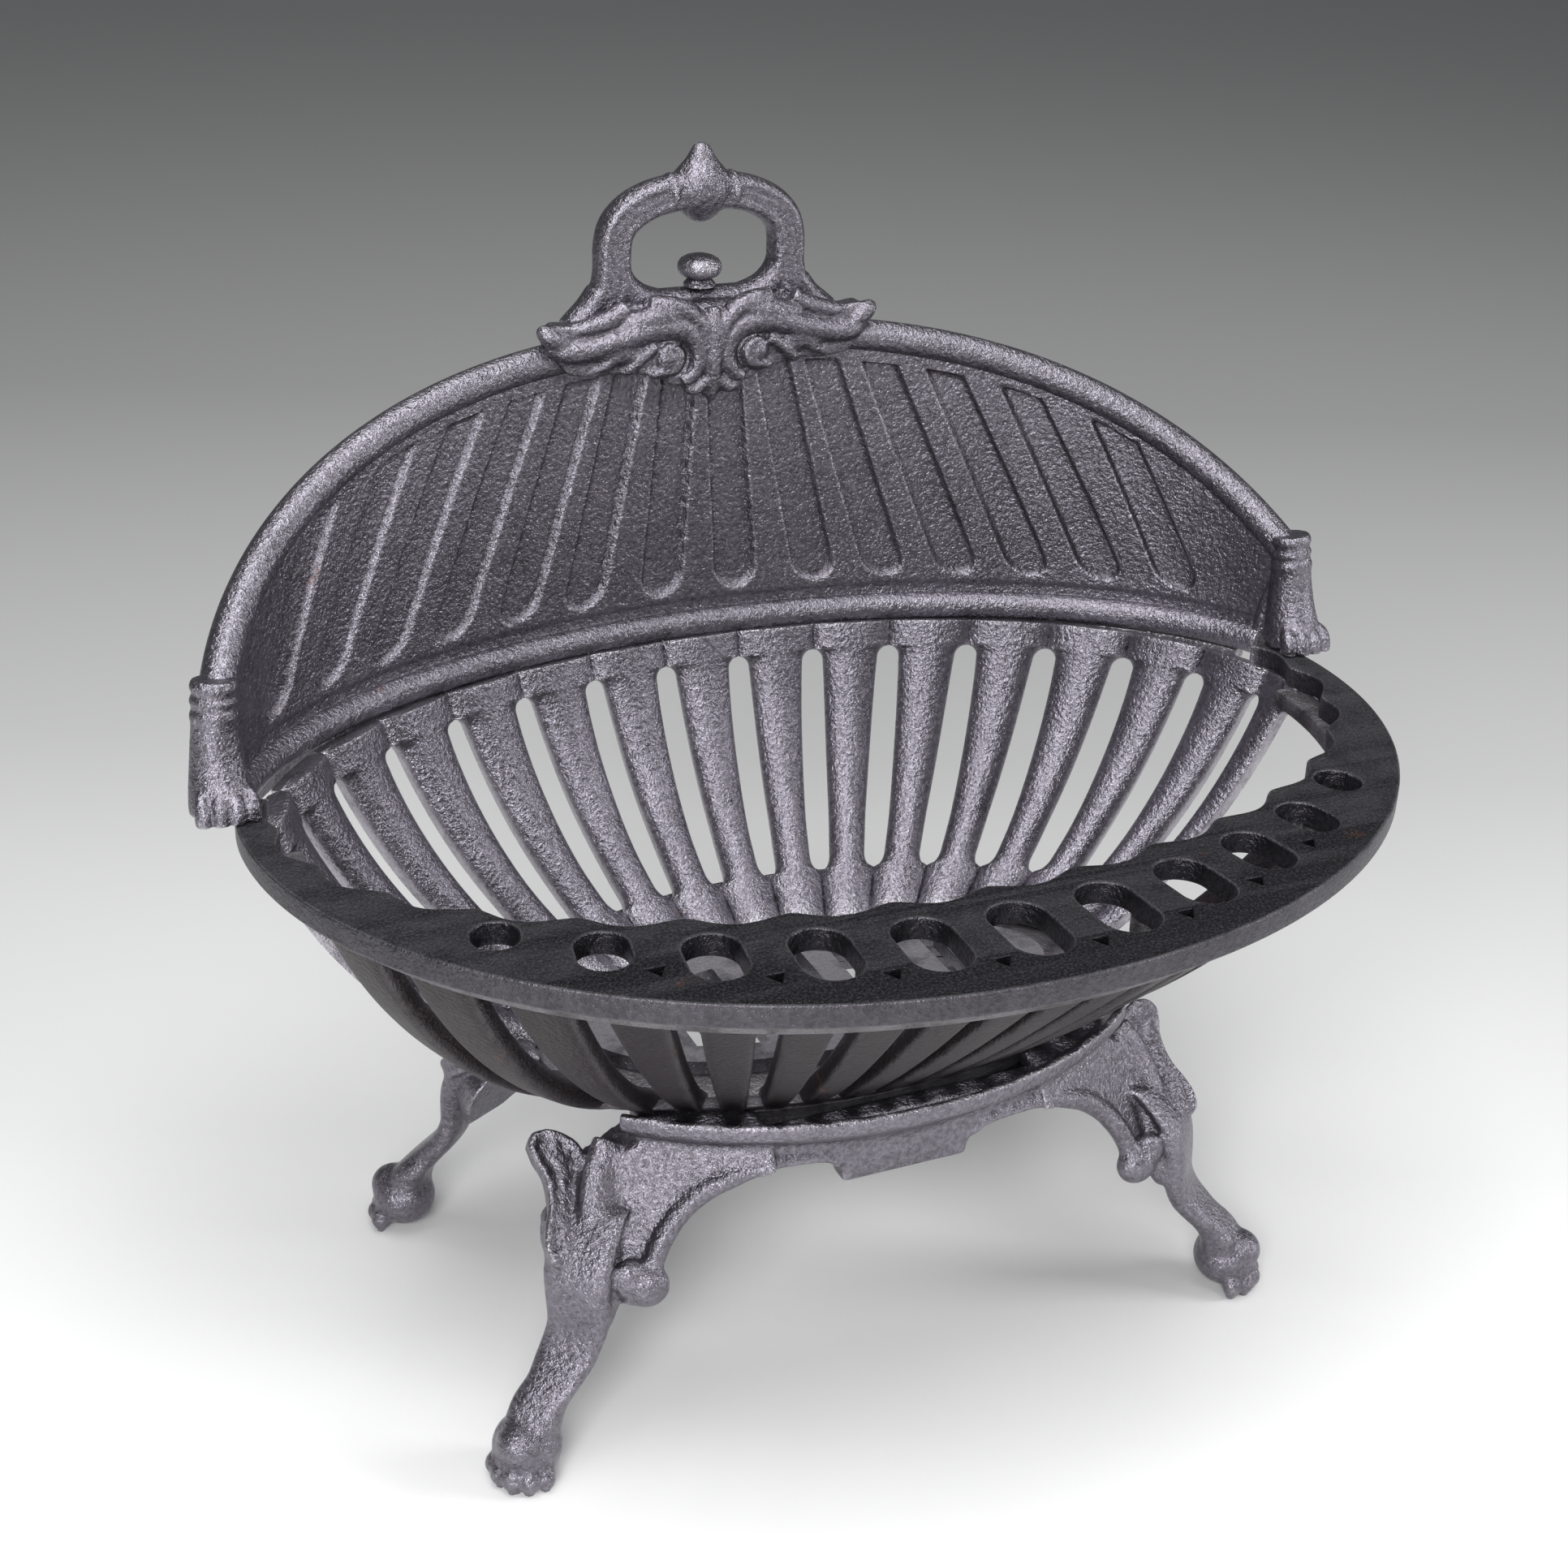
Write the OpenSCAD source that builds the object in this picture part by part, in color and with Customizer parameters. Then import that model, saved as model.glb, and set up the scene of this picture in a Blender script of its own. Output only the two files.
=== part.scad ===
// Oval cast-iron fire basket. A slotted bowl stands loose on a ring between two leg frames. A ledge
// with oval holes lies round its front, and a fluted hood with a loop handle stands round its back.
// Millimetres, +Z up, front towards -Y. Origin: on the floor, under the middle of the whole.

/* [Rim and ledge] */
// Half the length of the oval rim
rim_x = 225; // [210:1:240]
// Reach of the rim in front of its middle
rim_front = 186.5; // [176:0.5:196]
// Reach of the rim behind its middle
rim_back = 146; // [138:1:154]
// Thickness of the ledge, which shows as the outer band
ledge_t = 9; // [8:0.5:12]
// Half the length of the ledge's inner opening
ledge_in_x = 211; // [207:0.5:213]
// Reach of the ledge's inner opening in front of the middle
ledge_in_front = 122.5; // [119:0.5:126]
// Depth of the scallops along the ledge's inner edge
scallop = 5; // [2:0.5:7]
// How far behind the middle the ends of the ledge reach
ledge_end_y = 30; // [27:0.5:31]
// Oval holes on each side of the middle one
hole_side_count = 5; // [3:1:5]
// Angle between neighbouring oval holes, seen from the middle
hole_step = 9.5; // [8.8:0.1:9.8]
// Width of the middle oval hole
hole_w = 21; // [16:0.5:23]
// Length of the middle oval hole, front to back
hole_len = 36; // [28:0.5:38]
// Radius of the small three-sided holes
dart_r = 3.5; // [2:0.5:4]

/* [Bowl] */
// Height of the bowl from its foot ring's seat to the ledge
bowl_h = 111.7; // [104:0.1:120]
// How far the ledge's band overhangs the bars
band_overhang = 6.5; // [5:0.5:8]
// Half the length of the bowl where it enters the stand
waist_x = 144; // [138:1:150]
// Reach of the bowl in front of the middle where it enters the stand
waist_front = 89; // [86:0.5:92]
// Reach of the bowl behind the middle where it enters the stand
waist_back = 80; // [77:0.5:84]
// Radius of the curve that the bars follow
bowl_arc_r = 200; // [194:1:215]
// How far the lowest point of that curve is below the seat
bowl_arc_low = 17; // [14:0.5:24]
// How far the front follows that curve, from 0 for straight bars to 1
front_curve = 0.25; // [0.1:0.05:0.6]
// Front bars in the narrow front run
front_bars = 18; // [14:2:18]
// Angle between the front bars, as seen from the middle
front_bar_step = 9; // [8:0.5:9]
// Thickness of a front bar
front_bar_t = 9; // [7:0.5:10]
// Share of the pitch that a front bar fills
front_fill = 0.68; // [0.6:0.01:0.74]
// Ribs in the back wall
back_ribs = 15; // [13:2:15]
// Angle between the back ribs, as seen from the middle
back_rib_step = 11.25; // [10.5:0.25:11.25]
// Thickness of a back rib
back_rib_t = 12; // [10:0.5:13]
// Share of the pitch that a back rib fills
back_fill = 0.62; // [0.5:0.01:0.64]
// Height of the plain wall above the back slots
back_web_h = 12; // [8:1:13]
// How far the bowl's back flange stays inside the hood's outer face
flange_short = 1.5; // [1:0.5:6]
// Width of the bar at each end of the oval
end_bar_w = 22; // [16:1:24]
// Height of the ring that joins the tops of the bars
top_ring_h = 7; // [5:0.5:9]
// Radial width of that ring
top_ring_w = 15; // [13:0.5:17]
// Height of the foot ring that joins the bottoms of the bars
foot_ring_h = 5.7; // [5:0.1:6.5]
// Half the length of the foot ring
foot_ring_x = 118; // [115:0.5:121]
// Half the depth of the foot ring
foot_ring_y = 62; // [59:0.5:63]
// Radial width of the foot ring
foot_ring_w = 26; // [22:1:27]

/* [Bottom grate] */
// Thickness of the loose bottom grate
grate_t = 6; // [5:0.5:8]
// Overlap of the grate on the foot ring
grate_lap = 8; // [6:0.5:9]
// Width of a slot in the grate
grate_slot_w = 8; // [5:0.5:9]
// Slots in the grate
grate_slots = 9; // [5:2:9]
// Width of the rim left round the slots
grate_rim_w = 12; // [9:0.5:14]

/* [Stand] */
// Height of the seat for the bowl above the floor
seat_z = 117; // [112:1:122]
// Thickness of the seat ring
seat_t = 4; // [4:0.5:6]
// Half the length of the seat ring
seat_x = 106; // [102:1:109]
// Half the length of the opening in the seat ring
seat_open_x = 86; // [80:1:89]
// Half the depth of the opening in the seat ring
seat_open_y = 36; // [32:1:37]
// Height of the stand's lip above the seat
lip_h = 14; // [12:0.5:15]
// Thickness of the lip
lip_t = 4; // [3:0.5:5]
// Height of the lip's outer face
lip_face_h = 7; // [5:0.5:8]
// How far the lip stands in front of the bowl's waist
lip_out = 6; // [5:0.5:7]
// Smallest gap between the lip and the bars
lip_gap = 3.2; // [3:0.1:3.6]
// How much shorter than the bowl's waist the lip's oval is at each end
lip_short = 8; // [7:0.5:9]
// Half the width of the lip
lip_end_x = 104; // [98:1:105]
// How far the cove under the lip is set in
cove_in = 14; // [12:0.5:15]
// Sideways place of a foot's middle
foot_x = 153; // [150:1:156]
// Front-to-back place of a foot's middle
foot_y = 83; // [81:0.5:85]
// Radius of a foot
foot_r = 15; // [14:0.5:16]
// Width of a leg's broad side
leg_w = 26; // [23:0.5:28]
// Thickness of a leg
leg_t = 9.5; // [8:0.5:11]
// Front-to-back place of the apron's face
apron_y = 80; // [79:0.5:81]
// Thickness of the apron
apron_t = 10; // [8:0.5:11]
// Half the width of the tab under the middle of the apron
tab_half_w = 26; // [20:1:32]
// How far the tab hangs below the seat
tab_drop = 23; // [19:0.5:26]
// Thickness of the shoulders
shoulder_t = 14; // [12:0.5:15]
// Thickness of the leaf on each shoulder
leaf_t = 8; // [6:0.5:9]
// Radius of the volute on the inside of each knee
volute_r = 7; // [6:0.5:8]

/* [Hood] */
// How far the hood's inner face stands outside the rim's length
hood_out_x = 1; // [0:0.5:2]
// How far the hood's inner face stands inside the rim's back
hood_in_back = 10.5; // [10:0.5:12]
// Wall thickness of the hood
hood_t = 8; // [7.5:0.5:9]
// Height of the arch's springing above the ledge
spring_h = 10; // [6:1:14]
// Rise of the arch above its springing
arch_rise = 118; // [108:1:128]
// Bluntness of the arch, where 2 is an ellipse
arch_power = 2.4; // [2.2:0.05:2.7]
// Plan angle at which each end of the hood begins
hood_end_angle = 13.5; // [13.5:0.5:15]
// Radius of the roll along the arch
roll_r = 7; // [5:0.5:8]
// Height of the bead along the hood's foot
bead_h = 12; // [10:0.5:14]
// How far the bead stands proud
bead_proud = 5; // [3:0.5:6]
// Flutes on each side of the middle
flute_side_count = 7; // [5:1:7]
// Plan angle between the flutes at their feet
flute_step = 9.2; // [8.6:0.1:9.3]
// Height of the flutes' feet above the ledge
flute_foot_h = 12; // [11:0.5:16]
// Width of a flute
flute_w = 19; // [14:0.5:20]
// Depth of a flute
flute_depth = 3; // [1.5:0.5:3.5]
// Width of a paw
paw_w = 26; // [22:1:27]
// Height of a paw, to the groove under the roll
paw_h = 34; // [30:1:38]

/* [Crest and handle] */
// Thickness of the crest in front of the hood
crest_t = 14; // [11:0.5:15]
// Half the width of the crest
crest_half_w = 75; // [68:1:80]
// How far the crest's tip hangs below the top of the arch
crest_drop = 31; // [28:1:34]
// Height of the handle's foot above the arch
saddle_h = 14; // [12:0.5:16]
// Half the outside width of the handle
handle_half_w = 45.5; // [42:0.5:50]
// Width of the handle's arms
handle_arm_w = 15.5; // [12:0.5:17]
// Height of the handle above its foot, to the tip
handle_h = 57; // [52:1:62]
// Thickness of the handle, front to back
handle_t = 15; // [12:0.5:16]
// Radius of the knob's cap
knob_r = 9; // [7:0.5:10]
// Height of the knob above the handle's foot
knob_h = 13; // [11:0.5:14]

/* [Fasteners] */
// Radius of the bolts that hold the leg frames
frame_bolt_r = 3; // [2.5:0.5:3.5]
// Sideways place of those bolts
frame_bolt_x = 64; // [62:0.5:66]
// Front-to-back place of those bolts
frame_bolt_y = 44; // [42:0.5:45]
// Radius of the screws that hold the ledge
ledge_screw_r = 2.75; // [2:0.25:3]
// Radius of the dowels under the paws
dowel_r = 2.5; // [1.5:0.5:3]
// Length of a dowel above the ledge
dowel_h = 8; // [6:0.5:10]
// Radius of the bolts that hold the crest
crest_bolt_r = 3; // [2:0.5:3.5]
// Half the distance between the crest's bolts
crest_bolt_x = 34; // [30:1:36]
// Gap round a fastener in its hole
hole_gap = 0.3; // [0.2:0.05:0.5]
// Gap between two castings that rest on each other
rest_gap = 0.3; // [0.2:0.05:0.4]

/* [Hidden] */

iron = [0.27, 0.27, 0.29];
dark_iron = [0.13, 0.13, 0.14];
brown_iron = [0.31, 0.27, 0.27];
bolt_iron = [0.45, 0.45, 0.47];

oval_n = 96;
path_n = 10;
eps = 0.01;
tall = 600;

foot_z0 = seat_z + rest_gap;
bowl_top = foot_z0 + bowl_h;
ledge_z0 = bowl_top;
rim_z = ledge_z0 + ledge_t;
waist_z = seat_z + lip_h;
arc_z = seat_z + bowl_arc_r - bowl_arc_low;
bowl_x = rim_x - band_overhang;
bowl_front = rim_front - band_overhang;
bowl_back = rim_back - band_overhang;
front_ratio = 0.67;
back_ratio = 0.82;

lip_x = waist_x - lip_short;
lip_y = waist_front + lip_out;
lip_foot_z = waist_z - lip_face_h;
seat_y = apron_y - apron_t - 2;
seat_under = seat_z - seat_t;
hood_x = rim_x + hood_out_x;
hood_y = rim_back - hood_in_back;
hood_z0 = bowl_top + rest_gap;
spring_z = rim_z + spring_h;
arch_x = hood_x + hood_t + 3;
arch_top = spring_z + arch_rise;
saddle_z = arch_top + saddle_h;
handle_y = hood_y + hood_t / 2;
crest_bolt_z = arch_top - 8;
crest_bolt_head = 4;
crest_hole_y = hood_y - crest_t + 5;
back_end = max(handle_y + max(knob_r, handle_t / 2), hood_y + hood_t + crest_bolt_head);
middle_y = (back_end - rim_front) / 2;

// The pieces are drawn round the middle of the rim, then moved so that the origin lies on the
// floor under the middle of the whole.
module place() translate([0, -middle_y, 0]) children();

// Oval outlines. Front and back halves may have different depths.
function oval_point(a, front, back, t) = [a * cos(t), (sin(t) < 0 ? front : back) * sin(t)];
function oval_points(a, front, back, n = oval_n) =
    [for (i = [0:n - 1]) oval_point(a, front, back, 360 * i / n)];

module oval(a, front, back) {
    polygon(oval_points(a, front, back));
}

module oval_band(a, front, back, w, h) {
    linear_extrude(h) difference() {
        oval(a, front, back);
        oval(a - w, front - w, back - w);
    }
}

// The bowl's side. Its spread is 0 at the waist and 1 at the top. The back and the ends follow
// an arc, and the front lies between that arc and a straight line.
function arc_cos(z) = sqrt(1 - pow((arc_z - z) / bowl_arc_r, 2));
waist_cos = arc_cos(waist_z);
top_cos = arc_cos(bowl_top);
bar_z0 = foot_z0 + 1;
function arc_spread(z) = (arc_cos(z) - waist_cos) / (top_cos - waist_cos);
foot_spread = arc_spread(bar_z0);
function line_spread(z) = foot_spread + (1 - foot_spread) * (z - bar_z0) / (bowl_top - bar_z0);
function curve_share(t) =
    sin(t) >= 0 ? 1 : front_curve + (1 - front_curve) * min(1, max(0, (abs(cos(t)) - 0.6) / 0.3));
function spread(t, z) = line_spread(z) + curve_share(t) * (arc_spread(z) - line_spread(z));
function waist_point(t) = oval_point(waist_x, waist_front, waist_back, t);
function top_point(t) = oval_point(bowl_x, bowl_front, bowl_back, t);
function bowl_point(t, z) = waist_point(t) + (top_point(t) - waist_point(t)) * spread(t, z);

// A level cut through the bowl, a gap larger all round.
module bowl_level(z, gap) {
    polygon([for (i = [0:oval_n - 1])
        let (p = bowl_point(360 * i / oval_n, z)) p * (1 + gap / norm(p))]);
}

// A bar's profile in its own upright plane: distance out from the waist, and height.
bar_zs = let (lo = asin((arc_z - bowl_top) / bowl_arc_r), hi = asin((arc_z - bar_z0) / bowl_arc_r))
    [for (i = [0:path_n]) arc_z - bowl_arc_r * sin(lo + (hi - lo) * i / path_n)];
function bar_outer(t, reach, z) = [reach * spread(t, z), z];
function bar_inner(t, reach, z, thick) =
    let (slope = reach * (spread(t, z + 1) - spread(t, z - 1)) / 2)
    bar_outer(t, reach, z) - thick * [1, -slope] / norm([1, slope]);

module bar(t, thick, w_top, w_foot) {
    out = top_point(t) - waist_point(t);
    reach = norm(out);
    foot_s = reach * foot_spread;
    outline = concat([for (z = bar_zs) bar_outer(t, reach, z)],
                     [for (i = [path_n:-1:0]) bar_inner(t, reach, bar_zs[i], thick)]);
    in_s = foot_s - 3 * thick;
    out_s = reach + thick;
    slope = (w_top - w_foot) / 2 / (reach - foot_s);
    w_in = w_foot / 2 - slope * 3 * thick;
    w_out = w_top / 2 + slope * thick;
    translate([waist_point(t)[0], waist_point(t)[1], 0])
        rotate([0, 0, atan2(out[1], out[0])]) intersection() {
            rotate([90, 0, 0]) linear_extrude(2 * w_top, center = true) polygon(outline);
            linear_extrude(bowl_top - 1)
                polygon([[in_s, -w_in], [out_s, -w_out], [out_s, w_out], [in_s, w_in]]);
        }
}

// Plan angle of a bar that stands at the given angle away from the middle of its run.
function front_angle(d) = -90 + atan(front_ratio * tan(d));
function back_angle(d) = 90 - atan(back_ratio * tan(d));
function pitch_at(t0, t1, z) = norm(bowl_point(t1, z) - bowl_point(t0, z));

module front_bar(i) {
    d = (i - (front_bars - 1) / 2) * front_bar_step;
    lo = front_angle(d - front_bar_step / 2);
    hi = front_angle(d + front_bar_step / 2);
    bar(front_angle(d), front_bar_t, front_fill * pitch_at(lo, hi, bowl_top),
        front_fill * pitch_at(lo, hi, bar_z0));
}

module back_rib(i) {
    d = (i - (back_ribs - 1) / 2) * back_rib_step;
    lo = back_angle(d - back_rib_step / 2);
    hi = back_angle(d + back_rib_step / 2);
    bar(back_angle(d), back_rib_t, back_fill * pitch_at(lo, hi, bowl_top),
        back_fill * pitch_at(lo, hi, bar_z0));
}

// Places along the ledge. u counts oval holes from the middle one.
function hole_angle(u) = hole_step * u * (1 + 0.003 * u * u);
hole_line_y = (rim_front + ledge_in_front) / 2 - 1.5;
function hole_place(u) = [ledge_in_x * sin(hole_angle(u)), -hole_line_y * cos(hole_angle(u))];
function dart_place(u) =
    let (d = 1.08 * hole_angle(u))
    [(ledge_in_x - 7) * sin(d), -(hole_line_y + 16) * cos(d)];
function scallop_at(u) = scallop * pow(abs(sin(180 * u)), 1.5);
scallop_end = 8.9;
scallop_step = 0.1;

ledge_screw_us = [-4.5, -1.5, 1.5, 4.5];
function ledge_screw_place(u) =
    hole_place(u) * (abs(u) > 3 ? 0.96 : 1) + [0, (abs(u) > 3 ? 0 : 2)];
dowel_x = rim_x - 6.5;
dowel_y = 15;

module oval_hole(u) {
    w = hole_w * (1 - 0.01 * u * u);
    len = hole_len * (1 - 0.02 * u * u);
    half = (len - w) / 2;
    translate(hole_place(u)) rotate(0.3 * hole_angle(u)) {
        square([w, 2 * half], center = true);
        for (s = [-1, 1]) translate([0, s * half]) circle(r = w / 2, $fn = 48);
    }
}

module ledge_opening() {
    rows = [-scallop_end:scallop_step:scallop_end];
    front = [for (u = rows) let (s = scallop_at(u), d = hole_angle(u))
        [(ledge_in_x + s) * sin(d), -(ledge_in_front + s) * cos(d)]];
    last = front[len(front) - 1];
    polygon(concat(front, [[last[0], rim_back], [-last[0], rim_back]]));
}

module ledge_outline() {
    difference() {
        oval(rim_x, rim_front, rim_back);
        ledge_opening();
        translate([-tall / 2, ledge_end_y]) square([tall, tall]);
        for (i = [-hole_side_count:hole_side_count]) oval_hole(i);
        for (i = [0:hole_side_count - 2], s = [-1, 1])
            translate(dart_place(s * (i + 0.5))) rotate(-90) circle(r = dart_r, $fn = 3);
    }
}

module rim_ledge() color(dark_iron) difference() {
    translate([0, 0, ledge_z0]) linear_extrude(ledge_t) ledge_outline();
    for (u = ledge_screw_us) translate([ledge_screw_place(u)[0], ledge_screw_place(u)[1], ledge_z0 - 1])
        cylinder(h = ledge_t - 1.5, r = ledge_screw_r + hole_gap, $fn = 32);
    for (s = [-1, 1]) translate([s * dowel_x, dowel_y, ledge_z0 - 1])
        cylinder(h = ledge_t + 2, r = dowel_r + hole_gap / 2, $fn = 32);
}

// A boss for each ledge screw stands inside the bowl's top ring.
module screw_boss(u) {
    p = ledge_screw_place(u);
    t = atan2(p[1] / bowl_front, p[0] / bowl_x);
    q = top_point(t);
    out = atan2(q[1] - p[1], q[0] - p[0]);
    translate([p[0], p[1], bowl_top - top_ring_h]) {
        cylinder(h = top_ring_h - 1, r = 2.5 * ledge_screw_r, $fn = 32);
        rotate([0, 0, out]) translate([0, -2 * ledge_screw_r, 0])
            cube([norm(q - p) - front_bar_t, 4 * ledge_screw_r, top_ring_h - 2]);
    }
}

// The plain wall above the back slots, and the flange that carries the hood.
module back_rim() {
    out = hood_t - flange_short;
    difference() {
        translate([0, 0, bowl_top - back_web_h])
            oval_band(bowl_x - 3, bowl_front - 3, bowl_back - 3, 8, back_web_h - 0.5);
        translate([-tall / 2, 1 - tall, 0]) cube([tall, tall, tall]);
    }
    translate([0, 0, bowl_top - 5]) linear_extrude(4.8) difference() {
        oval(hood_x + out, rim_front, hood_y + out);
        oval(bowl_x - 9, bowl_front - 9, bowl_back - 9);
        translate([-tall / 2, ledge_end_y + 1 - tall]) square([tall, tall]);
    }
}

module fire_bowl() color(iron) difference() {
    union() {
        back_rim();
        for (i = [0:front_bars - 1]) front_bar(i);
        for (i = [0:back_ribs - 1]) back_rib(i);
        for (t = [0, 180]) bar(t, back_rib_t, end_bar_w, end_bar_w * 0.6);
        translate([0, 0, bowl_top - top_ring_h])
            oval_band(bowl_x - 2, bowl_front - 2, bowl_back - 2, top_ring_w - 2, top_ring_h);
        translate([0, 0, foot_z0])
            oval_band(foot_ring_x, foot_ring_y, foot_ring_y, foot_ring_w, foot_ring_h);
        for (u = ledge_screw_us) screw_boss(u);
    }
    for (u = ledge_screw_us)
        translate([ledge_screw_place(u)[0], ledge_screw_place(u)[1], bowl_top - top_ring_h - 1])
            cylinder(h = top_ring_h + 2, r = ledge_screw_r + hole_gap, $fn = 32);
}

module ledge_screws() color(bolt_iron) for (u = ledge_screw_us) {
    top = ledge_z0 + ledge_t - 3;
    head = 4;
    under = bowl_top - top_ring_h - rest_gap / 3;
    translate([ledge_screw_place(u)[0], ledge_screw_place(u)[1], 0]) {
        translate([0, 0, under - head]) cylinder(h = head, r = 2 * ledge_screw_r, $fn = 6);
        translate([0, 0, under - eps]) cylinder(h = top - under, r = ledge_screw_r, $fn = 32);
    }
}

module hood_dowels() color(bolt_iron) for (s = [-1, 1])
    translate([s * dowel_x, dowel_y, ledge_z0 + rest_gap / 3])
        cylinder(h = ledge_t + dowel_h, r = dowel_r, $fn = 32);

module bottom_grate() color(dark_iron) {
    gx = foot_ring_x - foot_ring_w + grate_lap;
    gy = foot_ring_y - foot_ring_w + grate_lap;
    pitch = 2 * (gx - grate_rim_w) / grate_slots;
    translate([0, 0, foot_z0 + foot_ring_h + rest_gap]) linear_extrude(grate_t) difference() {
        oval(gx, gy, gy);
        intersection() {
            oval(gx - grate_rim_w, gy - grate_rim_w, gy - grate_rim_w);
            for (i = [0:grate_slots - 1])
                translate([(i - (grate_slots - 1) / 2) * pitch, 0])
                    square([grate_slot_w, 2 * gy], center = true);
        }
    }
}

// The flat ring under the bowl, which joins the two leg frames.
module seat_ring() color(brown_iron) difference() {
    translate([0, 0, seat_under]) linear_extrude(seat_t) difference() {
        oval(seat_x, seat_y, seat_y);
        oval(seat_open_x, seat_open_y, seat_open_y);
    }
    for (sx = [-1, 1], sy = [-1, 1]) translate([sx * frame_bolt_x, sy * frame_bolt_y, 0]) {
        translate([0, 0, seat_under - 1])
            cylinder(h = seat_t + 2, r = frame_bolt_r + hole_gap, $fn = 32);
        translate([0, 0, seat_z - frame_bolt_r])
            cylinder(h = frame_bolt_r + 1, r1 = frame_bolt_r + hole_gap,
                     r2 = 2 * frame_bolt_r + hole_gap + 1, $fn = 32);
    }
}

// The lip in front of the bowl, and the cove below it in steps.
module lip() {
    steps = 5;
    step_h = (lip_foot_z - seat_under + 6) / steps;
    intersection() {
        union() {
            translate([0, 0, lip_foot_z]) oval_band(lip_x, lip_y, lip_y, lip_t, lip_face_h);
            for (i = [1:steps]) let (in = cove_in * sin(90 * (i - 0.5) / steps))
                translate([0, 0, lip_foot_z - i * step_h])
                    oval_band(lip_x - in, lip_y - in, lip_y - in, cove_in + 7 - in, step_h + 1);
        }
        translate([-lip_end_x, -tall, 0]) cube([2 * lip_end_x, tall - apron_y / 2, tall]);
    }
}

// The shoulder over each leg: its front view, cut to a slab that leans back and turns outward.
knee_x = foot_x - 22;
knee_y = foot_y - 11;
module shoulder_view() {
    polygon([
        [knee_x - 75, lip_foot_z], [knee_x - 75, seat_z - 7], [knee_x - 65, seat_z - 9.5],
        [knee_x - 52, seat_z - 15], [knee_x - 41, seat_z - 23], [knee_x - 33, seat_z - 32],
        [knee_x - 28, seat_z - 41], [knee_x - 24, seat_z - 51], [knee_x - 16, seat_z - 54.3],
        [knee_x + 2, seat_z - 54.3], [knee_x + 4, seat_z - 42], [knee_x + 2, seat_z - 33],
        [knee_x - 3, seat_z - 27], [knee_x - 10, seat_z - 15], [knee_x - 23, seat_z - 5],
        [knee_x - 33, seat_z + 2], [knee_x - 33, lip_foot_z]]);
}

module shoulder() {
    intersection() {
        translate([0, -apron_y / 2 + 10, 0]) rotate([90, 0, 0])
            linear_extrude(apron_y / 2 + 11) shoulder_view();
        translate([knee_x - 71, -apron_y, seat_z + 2]) rotate([0, 0, 28.9]) rotate([-24.7, 0, 0])
            translate([-tall / 2, 0, -tall / 2]) cube([tall, shoulder_t, tall]);
    }
}

// The leaf that curls back from the shoulder, drawn on a plane that leans back with it.
module leaf() {
    translate([knee_x, 4 - knee_y, seat_z - 32]) rotate([41.5, 0, 0])
        translate([0, 0, -leaf_t]) linear_extrude(leaf_t) polygon([
            [-14, 36], [-14, 29], [-13, 21], [-11, 15], [-8, 10], [-5, 3], [-4, -6], [6, -6],
            [8, 1], [6, 9], [3, 15], [2, 22.5], [2, 28.5], [4, 34.5], [5, 41], [2, 45.5],
            [-3, 45.5], [-9, 42.5]]);
}

// A leg is a flat strap set diagonally. Each point of its lines gives height, place, and share of
// the strap's size there.
leg_n = (knee_x + knee_y) / sqrt(2);
leg_u = (knee_x - knee_y) / sqrt(2);
leg_side_line = [
    [96, -18.5, 1], [86, -8, 1], [78, -2.5, 1], [70, -0.3, 1], [62, 0.6, 1], [55, 1.2, 1],
    [48, 3.4, 1.1], [42, 6.9, 1.3], [36, 12, 1.4], [30, 17, 1.5], [24, 20.5, 1.6], [12, 21, 1.5]];
leg_broad_line = [
    [96, -1.2, 1], [86, -1.2, 1.02], [75, -1.2, 1.04], [64, -2.2, 0.96], [56, -2.8, 0.92],
    [48, -1.2, 0.9], [42, 0.2, 0.88], [36, 2, 0.8], [30, 5, 0.8], [12, 8, 0.8]];
function strap_outline(line, w) =
    concat([for (p = line) [p[1] + p[2] * w / 2, p[0]]],
           [for (i = [len(line) - 1:-1:0]) [line[i][1] - line[i][2] * w / 2, line[i][0]]]);

module leg() {
    translate([leg_u / sqrt(2), leg_u / sqrt(2), 0]) rotate([0, 0, -45]) intersection() {
        translate([leg_n, leg_w, 0]) rotate([90, 0, 0]) linear_extrude(2 * leg_w)
            polygon(strap_outline(leg_side_line, leg_t));
        translate([leg_n - 3 * leg_t, 0, 0]) rotate([90, 0, 90]) linear_extrude(5 * leg_t)
            polygon(strap_outline(leg_broad_line, leg_w));
    }
}

module foot() {
    r = foot_r;
    translate([foot_x, -foot_y, 0]) rotate_extrude($fn = 64) polygon([
        [0, 0], [0.85 * r, 0], [0.97 * r, 0.3 * r], [r, 0.75 * r], [0.96 * r, 1.1 * r],
        [0.8 * r, 1.42 * r], [0.5 * r, 1.68 * r], [0.3 * r, 1.75 * r], [0, 1.75 * r]]);
}

module volute() {
    translate([knee_x - 27, 2 - apron_y, seat_z - 46]) rotate([90, 0, 0]) {
        cylinder(h = 9, r = volute_r, $fn = 48);
        cylinder(h = 10.5, r = volute_r / 2, $fn = 48);
    }
}

// The seat ring lies on a flange behind the apron, which is thicker where the bolts go through.
module flange() {
    back = 8 - frame_bolt_y;
    translate([0, 0, seat_under - 5]) linear_extrude(5 - rest_gap / 3) polygon([
        [0, 6 - apron_y], [knee_x - 69, 6 - apron_y], [knee_x - 46, 18 - apron_y],
        [knee_x - 46, back - 10], [frame_bolt_x + 11, back], [frame_bolt_x - 12, back],
        [frame_bolt_x - 24, back - 12], [0, back - 14]]);
    translate([frame_bolt_x - 10, 6 - apron_y, seat_under - 10])
        cube([20, apron_y - 6 + back, 8]);
}

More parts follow.
